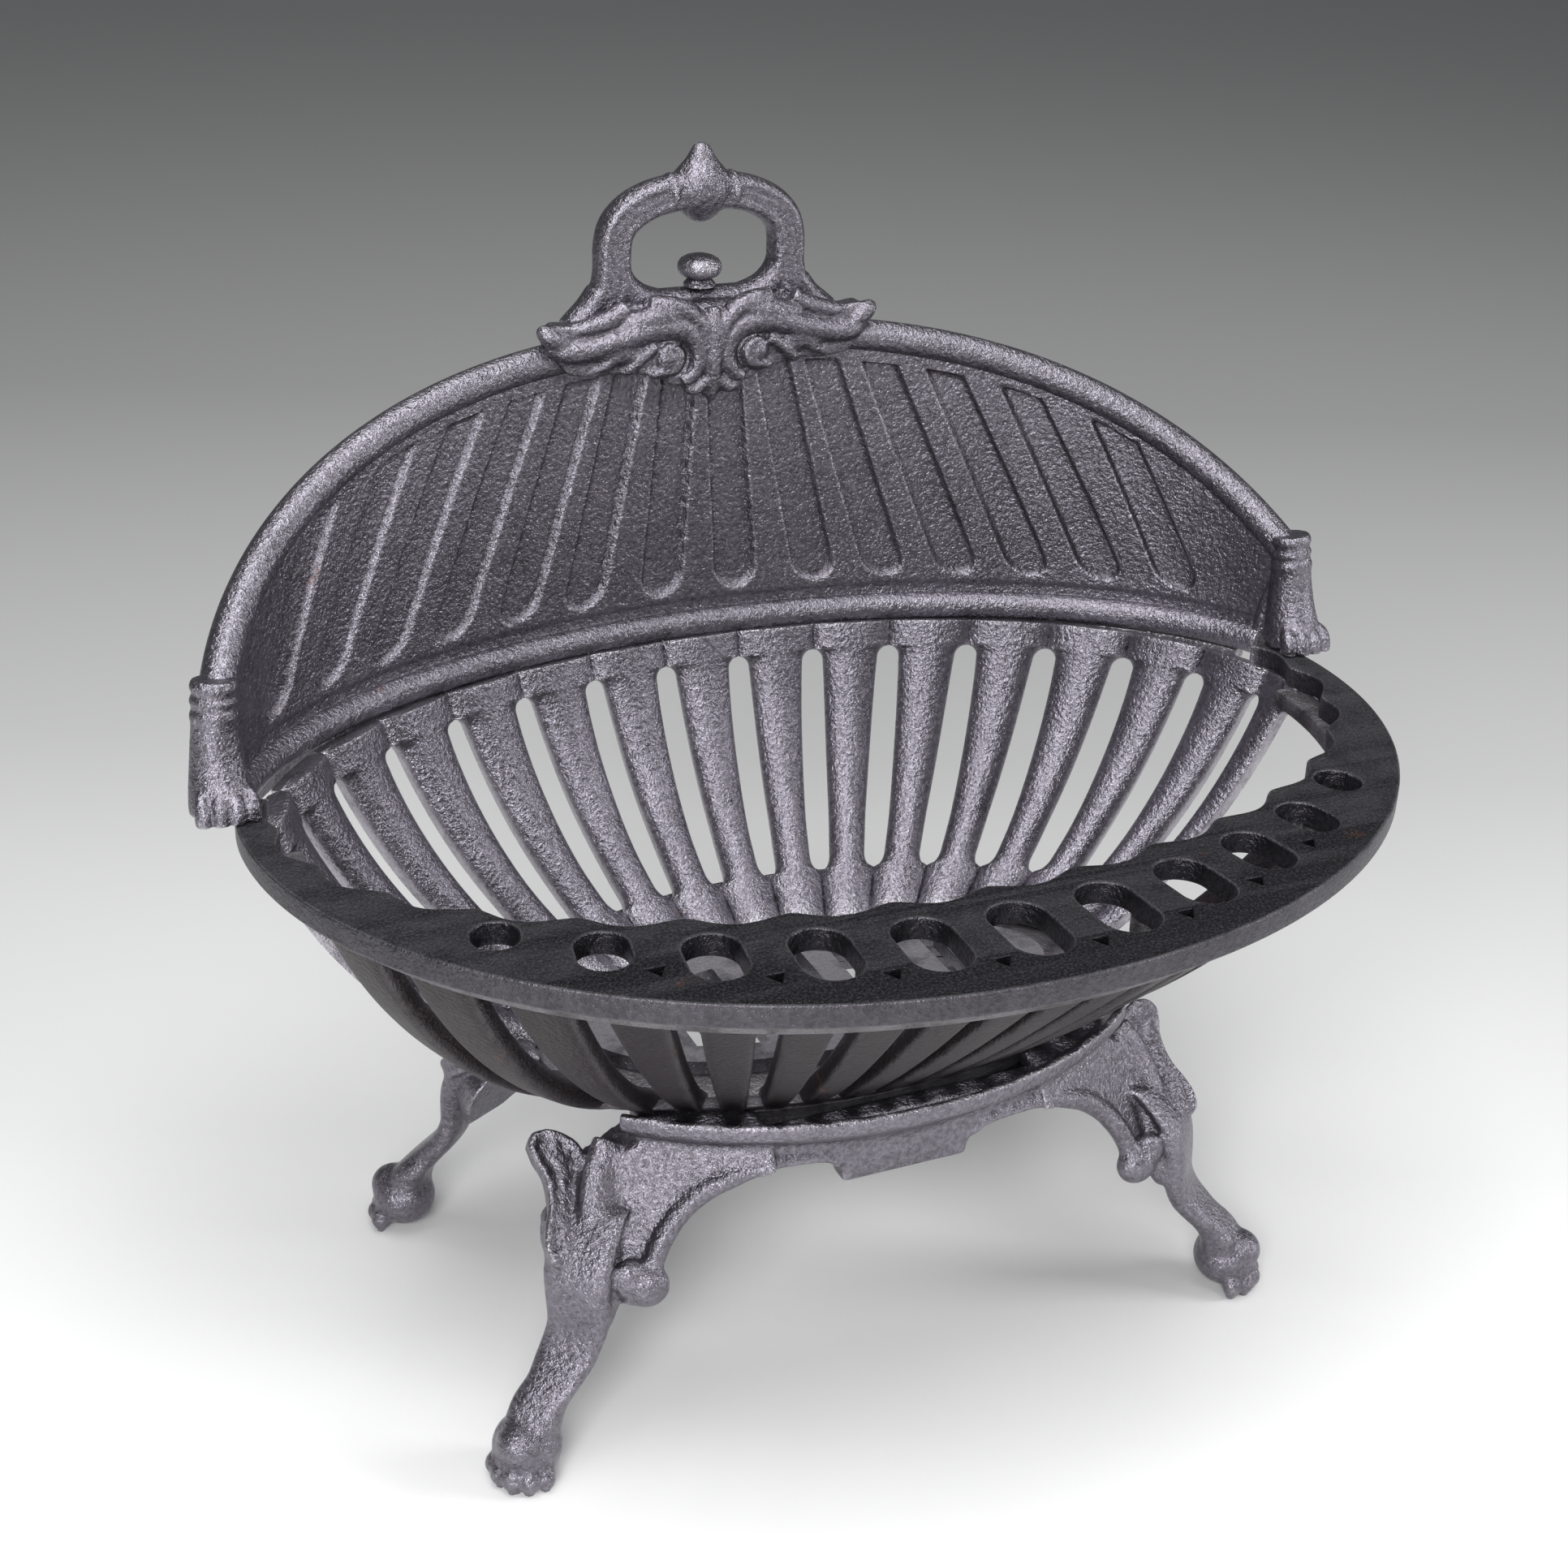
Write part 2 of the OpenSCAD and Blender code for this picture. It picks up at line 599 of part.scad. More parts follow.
module apron() {
    half = [[0, seat_z - tab_drop], [tab_half_w, seat_z - tab_drop],
            [tab_half_w + 1, seat_z - 17], [tab_half_w + 6, seat_z - 10], [knee_x - 73, seat_z - 7],
            [knee_x - 73, lip_foot_z], [0, lip_foot_z]];
    translate([0, -apron_y + apron_t, 0]) rotate([90, 0, 0]) linear_extrude(apron_t)
        for (s = [0, 1]) mirror([s, 0, 0]) polygon(half);
}

module leg_frame() difference() {
    union() {
        lip();
        apron();
        for (s = [0, 1]) mirror([s, 0, 0]) {
            shoulder();
            volute();
            leaf();
            leg();
            foot();
            flange();
        }
    }
    translate([-tall / 2, -tall / 2, -tall]) cube([tall, tall, tall]);
    for (s = [-1, 1]) translate([s * frame_bolt_x, -frame_bolt_y, 0])
        cylinder(h = tall, r = frame_bolt_r + hole_gap, $fn = 32);
}

// The room that the bowl needs as it is lifted out.
module bowl_room() {
    for (z = [seat_z:2:waist_z]) translate([0, 0, z])
        linear_extrude(2 + eps) bowl_level(z + 2, lip_gap);
}

module front_leg_frame() color(iron) difference() {
    leg_frame();
    bowl_room();
}

module rear_leg_frame() color(iron) difference() {
    mirror([0, 1, 0]) leg_frame();
    bowl_room();
}

module frame_bolts() color(bolt_iron) for (sx = [-1, 1], sy = [-1, 1])
    translate([sx * frame_bolt_x, sy * frame_bolt_y, 0]) {
        z0 = seat_under - 19;
        translate([0, 0, z0]) cylinder(h = seat_z - frame_bolt_r - z0, r = frame_bolt_r, $fn = 32);
        translate([0, 0, seat_z - frame_bolt_r])
            cylinder(h = frame_bolt_r, r1 = frame_bolt_r, r2 = 2 * frame_bolt_r, $fn = 32);
    }

module frame_nuts() color(bolt_iron) for (sx = [-1, 1], sy = [-1, 1])
    translate([sx * frame_bolt_x, sy * frame_bolt_y, seat_under - 16.6]) difference() {
        cylinder(h = 6.5, r = 1.85 * frame_bolt_r, $fn = 6);
        translate([0, 0, -1]) cylinder(h = 9, r = frame_bolt_r + hole_gap / 2, $fn = 32);
    }

// The arch of the hood, seen from the front.
function arch_z_at(x, a, rise) = spring_z + rise * sqrt(1 - pow(min(abs(x), a) / a, arch_power));
module arch_area(a, rise, foot_z = 0) {
    n = 40;
    xs = [for (i = [0:n]) -a * cos(180 * i / n)];
    polygon(concat([[-a, foot_z]], [for (x = xs) [x, arch_z_at(x, a, rise)]], [[a, foot_z]]));
}

module hood_arc(a, b, w, trim = 0) {
    n = 60;
    t0 = hood_end_angle + trim;
    span = 180 - 2 * t0;
    inner = [for (i = [0:n]) let (t = t0 + span * i / n) [a * cos(t), b * sin(t)]];
    outer = [for (i = [n:-1:0]) let (t = t0 + span * i / n)
        [(a + w) * cos(t), (b + w) * sin(t)]];
    polygon(concat(inner, outer));
}

module hood_shell() {
    intersection() {
        translate([0, 0, hood_z0]) linear_extrude(arch_top) hood_arc(hood_x, hood_y, hood_t);
        translate([0, tall, 0]) rotate([90, 0, 0]) linear_extrude(tall)
            arch_area(arch_x, arch_rise);
    }
}

module bead() {
    layers = 4;
    r = bead_h / 2;
    for (i = [1:layers]) {
        out = bead_proud * i / layers;
        half = r * sqrt(1 - pow((i - 1) / layers, 2));
        translate([0, 0, hood_z0 + r - half]) linear_extrude(2 * half)
            hood_arc(hood_x - out, hood_y - out, out + 1, 0.4 * i);
    }
}

// Flutes lean towards the middle, more so the further out they stand.
function flute_angle(k) = flute_step * (k + 0.5);
function flute_lean(k) = flute_angle(k) * (0.0046 - 0.00028 * k);
function flute_point(k, z) =
    let (d = flute_angle(k) - flute_lean(k) * (z - rim_z - flute_foot_h),
         p = [hood_x * sin(d), hood_y * cos(d)],
         n = [p[0] / hood_x / hood_x, p[1] / hood_y / hood_y])
    [p[0], p[1], z, n[0] / norm(n), n[1] / norm(n)];
flute_r = (flute_w * flute_w / 4 + flute_depth * flute_depth) / 2 / flute_depth;
function flute_axis(p) = [p[0], p[1], p[2]] + (flute_depth - flute_r) * [p[3], p[4], 0];

module flute(k) {
    foot = flute_point(k, rim_z + flute_foot_h + flute_w / 2);
    x_top = hood_x * sin(flute_angle(k) - flute_lean(k) * arch_rise * 0.75);
    head = flute_point(k, arch_z_at(x_top, arch_x, arch_rise) - 2 * roll_r - 2);
    a = flute_axis(foot);
    v = flute_axis(head) - a;
    translate(a) rotate([0, acos(v[2] / norm(v)), atan2(v[1], v[0])]) rotate_extrude($fn = 64)
        polygon(concat([for (i = [-90:10:0]) flute_r * [cos(i), sin(i)]],
                       [[flute_r, norm(v)], [0, norm(v)]]));
}

// The roll along the arch is built up in layers that stand out ever less far.
roll_end_x = crest_half_w + 1;
module roll() {
    layers = 3;
    for (i = [1:layers]) {
        proud = roll_r * 0.6 * i / layers;
        inset = roll_r * (1 - sqrt(1 - pow((i - 1) / layers, 2)));
        a = arch_x - inset;
        rise = arch_rise - inset;
        width = 2 * (roll_r - inset);
        intersection() {
            linear_extrude(tall)
                hood_arc(hood_x - proud, hood_y - proud, hood_t + 2 * proud, 0.4 * i);
            translate([0, tall, 0]) rotate([90, 0, 0]) linear_extrude(tall) difference() {
                arch_area(a, rise, spring_z);
                arch_area(a - width, rise - width, spring_z - 1);
                translate([-tall / 2, 0]) square([tall, rim_z + paw_h]);
                translate([-roll_end_x, 0]) square([2 * roll_end_x, tall]);
            }
        }
    }
}

paw_x = rim_x + 1;
paw_y = dowel_y + 6;
module paw() {
    r = paw_w / 2;
    floor_z = rim_z + rest_gap;
    toe_r = paw_w / 7;
    difference() {
        union() {
            translate([paw_x, paw_y, floor_z]) rotate_extrude($fn = 64) polygon([
                [0, -1], [r, -1], [r, 9], [0.96 * r, 13], [0.83 * r, 17], [0.6 * r, 20], [0, 20]]);
            translate([paw_x - 1, paw_y + 1, floor_z + 9]) rotate([-32, 0, 0])
                cylinder(h = paw_h - 8, r1 = r - 1, r2 = roll_r + 2, $fn = 48);
            translate([paw_x - 3, ledge_end_y + 6.5, floor_z + 14]) rotate_extrude($fn = 48)
                polygon([[0, 0], [roll_r + 1, 0], [roll_r + 2, paw_h - 14], [roll_r + 1, paw_h - 9],
                         [roll_r - 2, paw_h - 5], [0, paw_h - 5]]);
            for (i = [-1.5:1:1.5]) translate([paw_x + i * 1.75 * toe_r, paw_y - 9 + abs(i), 0]) {
                translate([0, 0, floor_z + toe_r]) sphere(r = toe_r, $fn = 32);
                translate([0, 0, floor_z + toe_r]) rotate([-60, 0, 0])
                    cylinder(h = 10, r = toe_r, $fn = 32);
            }
        }
        translate([paw_x - 60, -60, floor_z - 100]) cube([120, 120, 100]);
        translate([dowel_x, dowel_y, floor_z - 1])
            cylinder(h = dowel_h + 2, r = dowel_r + hole_gap, $fn = 32);
    }
}

module fluted_hood() color(iron) difference() {
    union() {
        difference() {
            hood_shell();
            for (k = [0:flute_side_count - 1], s = [0, 1]) mirror([s, 0, 0]) flute(k);
        }
        bead();
        roll();
        for (s = [0, 1]) mirror([s, 0, 0]) paw();
    }
    for (s = [-1, 1]) translate([s * crest_bolt_x, hood_y + 30, crest_bolt_z]) rotate([90, 0, 0])
        cylinder(h = 60, r = crest_bolt_r + hole_gap, $fn = 32);
}

// The crest: a pair of scrolled leaves that lie on the hood under the handle.
module crest_outline() {
    w = crest_half_w;
    z = arch_top;
    half = [[0, z - crest_drop], [10, z - 23], [17, z - 22], [24, z - 17], [38, z - 15],
            [50, z - 16], [w - 13, z - 15], [w - 3, z - 4], [w, z + 3], [w - 7, z + 9],
            [w - 16, z + 6], [w - 26, z + 8], [0, z + 8]];
    for (s = [0, 1]) mirror([s, 0, 0]) polygon(half);
}

module handle_outline() {
    base = saddle_z - 2;
    w = handle_half_w;
    top = saddle_z + handle_h - 13;
    inner = w - handle_arm_w;
    sill = saddle_z + 2;
    crown = saddle_z + 31;
    half_out = [[0, base - 20], [w + 9, base - 20], [w + 9, base - 9], [w + 5, base - 4],
                [w - 1, base + 5], [w, base + 20], [w - 2, base + 29],
                [w - 7, base + 37], [w - 16, top - 2], [w - 27, top + 1],
                [9, top + 5], [4, top + 11], [0, saddle_z + handle_h]];
    half_in = [[0, sill - 2], [inner - 12, sill - 2], [inner - 4, sill + 3], [inner, sill + 11],
               [inner, sill + 18], [inner - 2, crown - 5], [inner - 8, crown],
               [9, crown], [5, crown - 3], [0, crown - 5]];
    for (s = [0, 1]) mirror([s, 0, 0]) difference() {
        polygon(half_out);
        polygon(half_in);
    }
}

module crest_handle() color(iron) difference() {
    union() {
        intersection() {
            translate([0, hood_y, 0]) rotate([90, 0, 0]) linear_extrude(crest_t) crest_outline();
            linear_extrude(tall) oval(hood_x - rest_gap, tall, hood_y - rest_gap);
        }
        translate([0, handle_y + handle_t / 2, 0]) rotate([90, 0, 0]) linear_extrude(handle_t)
            handle_outline();
    }
    difference() {
        translate([0, hood_y + tall, 0]) rotate([90, 0, 0]) linear_extrude(2 * tall)
            arch_area(arch_x, arch_rise + rest_gap);
        linear_extrude(tall) oval(hood_x - rest_gap, tall, hood_y - rest_gap);
    }
    for (s = [-1, 1]) translate([s * crest_bolt_x, hood_y + 2, crest_bolt_z]) rotate([90, 0, 0])
        cylinder(h = hood_y + 2 - crest_hole_y, r = crest_bolt_r + hole_gap / 2, $fn = 32);
    translate([0, handle_y, saddle_z - 10]) cylinder(h = 30, r = crest_bolt_r + hole_gap / 2, $fn = 32);
}

module crest_knob() color(iron) translate([0, handle_y, saddle_z]) rotate_extrude($fn = 64)
    polygon([[0, -9], [crest_bolt_r, -9], [crest_bolt_r, rest_gap / 2], [knob_r - 2.5, rest_gap / 2],
             [knob_r - 4, 3], [knob_r - 1.5, 4.5], [knob_r, 7.5], [knob_r - 1, knob_h - 2.5],
             [knob_r - 4, knob_h - 0.6], [0, knob_h]]);

module crest_bolts() color(bolt_iron) for (s = [-1, 1])
    translate([s * crest_bolt_x, 0, crest_bolt_z]) {
        head_r = 2 * crest_bolt_r;
        near_x = crest_bolt_x - head_r;
        seat_y = (hood_y + hood_t) * sqrt(1 - pow(near_x / (hood_x + hood_t), 2)) + rest_gap / 3;
        translate([0, seat_y + crest_bolt_head, 0]) rotate([90, 0, 0])
            cylinder(h = crest_bolt_head, r = head_r, $fn = 6);
        translate([0, seat_y + 1, 0]) rotate([90, 0, 0])
            cylinder(h = seat_y + 1 - crest_hole_y - 1, r = crest_bolt_r, $fn = 32);
    }

place() seat_ring();
place() front_leg_frame();
place() rear_leg_frame();
place() frame_bolts();
place() frame_nuts();
place() fire_bowl();
place() rim_ledge();
place() ledge_screws();
place() hood_dowels();
place() bottom_grate();
place() fluted_hood();
place() crest_handle();
place() crest_knob();
place() crest_bolts();
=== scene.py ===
"""Dresses the oval cast-iron fire basket: its castings, its finishes and a plain stage."""

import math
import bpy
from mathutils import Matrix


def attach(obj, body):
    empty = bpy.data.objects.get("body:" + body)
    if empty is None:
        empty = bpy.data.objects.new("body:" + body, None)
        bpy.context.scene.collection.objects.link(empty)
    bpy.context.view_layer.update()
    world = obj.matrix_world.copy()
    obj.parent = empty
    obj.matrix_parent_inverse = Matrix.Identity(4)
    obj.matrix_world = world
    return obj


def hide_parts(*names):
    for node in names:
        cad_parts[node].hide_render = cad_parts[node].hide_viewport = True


bl_info = {
    "name": "Oval Fire Basket",
    "version": (1, 0, 0),
    "blender": (4, 5, 0),
    "location": "View3D > Sidebar > Fire Basket",
    "description": "Builds the castings and finishes of an oval fire basket on its CAD frame",
    "category": "Add Mesh",
}

import bmesh
import bpy
from mathutils import Matrix, Vector

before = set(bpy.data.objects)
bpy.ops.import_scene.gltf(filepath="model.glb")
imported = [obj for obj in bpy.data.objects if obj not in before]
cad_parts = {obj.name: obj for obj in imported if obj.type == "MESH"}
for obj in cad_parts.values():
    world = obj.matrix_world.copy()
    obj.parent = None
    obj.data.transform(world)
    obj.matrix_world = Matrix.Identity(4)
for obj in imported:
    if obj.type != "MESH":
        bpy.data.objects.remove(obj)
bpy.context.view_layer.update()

# Castings are drawn in millimetres round the middle of the rim, then moved to the CAD frame.
RIM_SHIFT = 19.0
PLACE = Matrix.Scale(0.001, 4) @ Matrix.Translation((0, RIM_SHIFT, 0))
TO_METRES = (0.001, 0.001, 0.001)
TO_MILLIMETRES = (1000, 1000, 1000)
FRONTWARD = Vector((0, -1, 0))


class BasketSizes(bpy.types.PropertyGroup):
    """Sizes of the castings' fine shapes, in millimetres."""

    front_bars: bpy.props.IntProperty(
        name="Front bars", description="Flat bars across the front of the bowl",
        default=18, min=6)
    back_ribs: bpy.props.IntProperty(
        name="Back ribs", description="Round ribs across the back of the bowl", default=15, min=5)
    flute_depth: bpy.props.FloatProperty(
        name="Flute depth", description="How deep the hood's flutes are sunk",
        default=3.0, min=0.5)
    flute_edge: bpy.props.FloatProperty(
        name="Flute edge", description="Width of a flute's steep side", default=1.3, min=0.5)
    roll_radius: bpy.props.FloatProperty(
        name="Roll radius", description="Radius of the roll along the hood's arch",
        default=6.6, min=3)
    bead_proud: bpy.props.FloatProperty(
        name="Bead", description="How far the bead at the hood's foot stands out",
        default=5.2, min=2)
    ledge_rounding: bpy.props.FloatProperty(
        name="Ledge rounding", description="Rounding of the ledge's edges", default=1.1, min=0.2)
    casting_detail: bpy.props.FloatProperty(
        name="Casting detail", description="Grid that melds the legs, paws, crest and handle",
        default=1.0, min=0.4, max=3)


class BasketFinish(bpy.types.PropertyGroup):
    """Colours of the castings and the stage."""

    graphite: bpy.props.FloatVectorProperty(
        name="Graphite", description="Stove-polished iron", subtype="COLOR", size=3,
        default=(0.2, 0.188, 0.218), min=0, max=1)
    # The iron's own fire-browned colour, darkened as painted shade for the outer bars and rings,
    # which lie in shade.
    heat_brown_and_shade: bpy.props.FloatVectorProperty(
        name="Heat brown", description="Iron browned by the fire", subtype="COLOR", size=3,
        default=(0.016, 0.011, 0.013), min=0, max=1)
    ledge_black: bpy.props.FloatVectorProperty(
        name="Ledge black", description="Matte top of the ledge", subtype="COLOR", size=3,
        default=(0.0018, 0.0017, 0.0022), min=0, max=1)
    # Burnished wear on the castings' edges, which also serves as a painted highlight of light
    # caught on them.
    edge_wear_and_highlight_colour: bpy.props.FloatVectorProperty(
        name="Worn edges", description="Burnished edges of the castings", subtype="COLOR", size=3,
        default=(0.62, 0.6, 0.64), min=0, max=1)
    rust: bpy.props.FloatVectorProperty(
        name="Rust", description="Small rust spots", subtype="COLOR", size=3,
        default=(0.16, 0.055, 0.02), min=0, max=1)
    steel: bpy.props.FloatVectorProperty(
        name="Fixings", description="Dull steel of the screws, bolts and dowels", subtype="COLOR",
        size=3, default=(0.3, 0.3, 0.31), min=0, max=1)
    floor_tint: bpy.props.FloatVectorProperty(
        name="Floor", description="Tint of the pale floor", subtype="COLOR", size=3,
        default=(1.0, 1.0, 1.0), min=0, max=1)


# Shapes


def blend_step(low, high, value):
    """Goes smoothly from 0 at low to 1 at high."""
    share = min(1.0, max(0.0, (value - low) / (high - low)))
    return share * share * (3 - 2 * share)


def run_through(rows, steps):
    """A smooth run through rows of numbers, with steps between each two."""
    out = []
    last = len(rows) - 1
    for i in range(last):
        before, a, b, after = rows[max(i - 1, 0)], rows[i], rows[i + 1], rows[min(i + 2, last)]
        for k in range(steps):
            s = k / steps
            out.append([
                0.5 * (2 * q + (r - p) * s + (2 * p - 5 * q + 4 * r - t) * s * s
                       + (3 * q - p - 3 * r + t) * s ** 3)
                for p, q, r, t in zip(before, a, b, after)])
    out.append(list(rows[last]))
    return out


def skin(bm, across, along, shape):
    """Lays a grid over u and v from 0 to 1, shapes it, and joins the edges that meet."""
    made = bmesh.ops.create_grid(bm, x_segments=across, y_segments=along, size=0.5)["verts"]
    for vert in made:
        vert.co = shape(vert.co.x + 0.5, vert.co.y + 0.5)
    bmesh.ops.remove_doubles(bm, verts=made, dist=0.002)


def rod(bm, stations, around, power=2.0):
    """A closed rod. A station is a middle and two half-axes of a superellipse."""
    count = len(stations)

    def shape(u, v):
        row = round(v * (count + 1))
        middle, a, b = stations[min(max(row - 1, 0), count - 1)]
        if row in (0, count + 1):
            return middle
        c, s = math.cos(math.tau * u), math.sin(math.tau * u)
        return (middle + a * math.copysign(abs(c) ** (2 / power), c)
                + b * math.copysign(abs(s) ** (2 / power), s))

    skin(bm, around, count + 1, shape)


def ridge(bm, rows, out, steps=6, around=16):
    """A rod through rows of (x, y, z, half width, half height). It stands proud along out."""
    points = run_through(rows, steps)
    stations = []
    for i, p in enumerate(points):
        ahead, behind = points[min(i + 1, len(points) - 1)], points[max(i - 1, 0)]
        along = Vector(ahead[:3]) - Vector(behind[:3])
        side = along.cross(out).normalized()
        up = side.cross(along).normalized()
        stations.append((Vector(p[:3]), side * p[3], up * p[4]))
    rod(bm, stations, around)


def turned(bm, x, y, profile, around, squash=1.0):
    """A round upright through rows of (z, radius), as if turned on a lathe."""
    rod(bm, [(Vector((x, y, z)), Vector((r, 0, 0)), Vector((0, squash * r, 0)))
             for z, r in profile], around)


def ball(bm, place, sizes, turn=Matrix()):
    """A ball or an egg with the given half sizes."""
    matrix = Matrix.Translation(place) @ turn @ Matrix.Diagonal((*sizes, 1))
    bmesh.ops.create_uvsphere(bm, u_segments=28, v_segments=16, radius=1, matrix=matrix)


def collar(bm, place, radius, thick, turn=Matrix()):
    """A round ring about the local z axis."""
    matrix = Matrix.Translation(place) @ turn

    def shape(u, v):
        a, b = math.tau * u, math.tau * v
        r = radius + thick * math.cos(b)
        return matrix @ Vector((r * math.cos(a), r * math.sin(a), thick * math.sin(b)))

    skin(bm, 40, 12, shape)


def plate(bm, corners, depth):
    """A plate from its corners, made thick by the vector depth."""
    verts = [bm.verts.new(c) for c in corners]
    face = bm.faces.new(verts)
    grown = bmesh.ops.extrude_face_region(bm, geom=[face])["geom"]
    moved = [g for g in grown if isinstance(g, bmesh.types.BMVert)]
    bmesh.ops.translate(bm, vec=depth, verts=moved)


def everything(bm):
    """All that a bmesh holds, for the operators that work on a region."""
    return bm.verts[:] + bm.edges[:] + bm.faces[:]


def mirror_left(bm):
    """Adds the left half, the mirror image of what is there."""
    bmesh.ops.mirror(bm, geom=everything(bm), matrix=Matrix(), merge_dist=-1, axis="X")


def add_piece(name, bm, finish, body, stands_for=(), smooth_angle=40):
    """Puts a drawn bmesh in the scene as a piece of a body. Creases over the angle stay sharp."""
    bmesh.ops.recalc_face_normals(bm, faces=bm.faces[:])
    bmesh.ops.transform(bm, matrix=PLACE, verts=bm.verts[:])
    mesh = bpy.data.meshes.new(name)
    bm.to_mesh(mesh)
    bm.free()
    mesh.shade_smooth()
    mesh.set_sharp_from_angle(angle=math.radians(smooth_angle))
    mesh.materials.append(bpy.data.materials[finish])
    obj = bpy.data.objects.new(name, mesh)
    bpy.context.scene.collection.objects.link(obj)
    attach(obj, body)
    if stands_for:
        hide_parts(*stands_for)


def meld(bm, grid, rounds):
    """Melds overlapping closed shapes into one casting on a fine grid, and eases its creases.

    The grid is in millimetres. Each round of smoothing moves a vertex half way to its neighbours.
    """
    bmesh.ops.recalc_face_normals(bm, faces=bm.faces[:])
    bmesh.ops.scale(bm, vec=TO_METRES, verts=bm.verts[:])
    mesh = bpy.data.meshes.new("rough")
    bm.to_mesh(mesh)
    bm.free()
    obj = bpy.data.objects.new("rough", mesh)
    bpy.context.scene.collection.objects.link(obj)
    remesh = obj.modifiers.new("meld", "REMESH")
    remesh.mode = "VOXEL"
    remesh.voxel_size = grid * 0.001
    remesh.adaptivity = 0
    graph = bpy.context.evaluated_depsgraph_get()
    melded = bpy.data.meshes.new_from_object(obj.evaluated_get(graph))
    out = bmesh.new()
    out.from_mesh(melded)
    bpy.data.objects.remove(obj)
    bpy.data.meshes.remove(mesh)
    bpy.data.meshes.remove(melded)
    bmesh.ops.scale(out, vec=TO_MILLIMETRES, verts=out.verts[:])
    for _ in range(rounds):
        bmesh.ops.smooth_vert(out, verts=out.verts[:], factor=0.5,
                              use_axis_x=True, use_axis_y=True, use_axis_z=True)
    return out


# The bowl

# Its ovals are deeper in front than at the back, and an arc leads from the waist to the top.
BOWL_FOOT, WAIST_Z, BOWL_TOP = 117.3, 131.0, 229.0
WAIST_X, WAIST_FRONT, WAIST_BACK = 144, 89, 80
BOWL_X, BOWL_FRONT, BOWL_BACK = 218.5, 180.0, 139.5
BOWL_ARC_Z, BOWL_ARC_RADIUS = 300, 200
# The degrees that all bars or ribs take up, and how much their turns crowd to the middle
FRONT_DEGREES, FRONT_CROWDING = 162, 0.67
BACK_DEGREES, BACK_CROWDING = 168.75, 0.82
SLOT_LOW, SLOT_HIGH = 133.0, 217.5
SLOT_MARKS = ((133, 0.37), (150, 0.41), (170, 0.38), (190, 0.35), (205, 0.32), (218, 0.28))
# Where the screws of the ledge enter the top ring
BOSSES = ((-149, -109), (-52, -146), (52, -146), (149, -109))
# Sections of the rings, as (inwards, z) places in a loop
WAIST_RING = ((0.9, 118), (0.7, 122), (0.8, 126), (1.6, 127.2), (8, 127.2), (9, 126), (9, 118))
TOP_RING = ((2, 222.6), (2, 228.4), (2.5, 228.9), (13.5, 228.9), (14, 228.4), (14, 222.6),
            (13.4, 222), (2.6, 222))
FOOT_RING = ((0, BOWL_FOOT), (0, 122.6), (0.4, 123), (25.6, 123), (26, 122.6), (26, BOWL_FOOT))
HOOD_SEAT = ((0.4, 224.2), (0, 224.6), (0, 228.4), (0.4, 228.8), (7, 228.8), (7, 224.2))


def oval_at(turn, z, half_x, half_y):
    """A point of an oval. The turn starts at the right-hand end and goes by the back."""
    return Vector((half_x * math.cos(turn), half_y * math.sin(turn), z))


def rim_at(turn, z):
    """A point of the bowl's outer edge at the top."""
    return oval_at(turn, z, BOWL_X, BOWL_FRONT if math.sin(turn) < 0 else BOWL_BACK)


def foot_ring_at(turn, z):
    """A point of the outer edge of the ring that the bowl stands on."""
    return oval_at(turn, z, 118, 62)


def hood_seat_at(turn, z):
    """A point of the outer edge of the flange under the hood's wall."""
    return oval_at(turn, z, 232.5, 142)


def arc_cos(z):
    """How far out the side's arc is at a height, in parts of its radius."""
    return math.sqrt(1 - ((BOWL_ARC_Z - z) / BOWL_ARC_RADIUS) ** 2)


def bowl_spread(turn, z):
    """How far out the bowl's side is, 0 at the waist and 1 at the top."""
    waist, top = arc_cos(WAIST_Z), arc_cos(BOWL_TOP)
    arc = (arc_cos(z) - waist) / (top - waist)
    foot = (arc_cos(BOWL_FOOT + 1) - waist) / (top - waist)
    line = foot + (1 - foot) * (z - BOWL_FOOT - 1) / (BOWL_TOP - BOWL_FOOT - 1)
    # The middle of the front is nearly straight, and the rest follows the arc.
    share = 1.0
    if math.sin(turn) < 0:
        share = 0.25 + 0.75 * min(1, max(0, (abs(math.cos(turn)) - 0.6) / 0.3))
    return line + share * (arc - line)


def bowl_side(turn, z):
    """A point of the bowl's outer side."""
    waist = oval_at(turn, z, WAIST_X, WAIST_FRONT if math.sin(turn) < 0 else WAIST_BACK)
    return waist.lerp(rim_at(turn, z), bowl_spread(turn, z))


def crowded(degrees, crowding):
    """Draws even steps together towards the middle."""
    return math.degrees(math.atan(crowding * math.tan(math.radians(degrees))))


def front_turn(degrees):
    """Where a front bar stands, from its even step from the middle of the front."""
    return math.radians(-90 + crowded(degrees, FRONT_CROWDING))


def back_turn(degrees):
    """Where a back rib stands, from its even step from the middle of the back."""
    return math.radians(90 - crowded(degrees, BACK_CROWDING))


def front_bar(bm, turn, widths, thick):
    """One flat front bar, from the foot ring to the rim. Widths are at the foot and the top."""
    out = bowl_side(turn, BOWL_TOP) - bowl_side(turn, WAIST_Z)
    out.z = 0
    out.normalize()
    side = Vector((-out.y, out.x, 0))
    stations = []
    rows = 30
    for i in range(rows + 1):
        z = BOWL_FOOT + 1 + (BOWL_TOP - 2.2 - BOWL_FOOT) * (i / rows) ** 0.9
        ahead, behind = bowl_side(turn, min(z + 1, BOWL_TOP)), bowl_side(turn, z - 1)
        along = (ahead - behind).normalized()
        proud = side.cross(along).normalized()
        if proud.dot(out) < 0:
            proud = -proud
        # The spread is about -0.12 at the foot.
        width = widths[0] + (widths[1] - widths[0]) * max(0, bowl_spread(turn, z) + 0.12) / 1.12
        middle = bowl_side(turn, z) - proud * thick / 2
        stations.append((middle, side * width / 2, proud * thick / 2))
    rod(bm, stations, 32, 4.4)


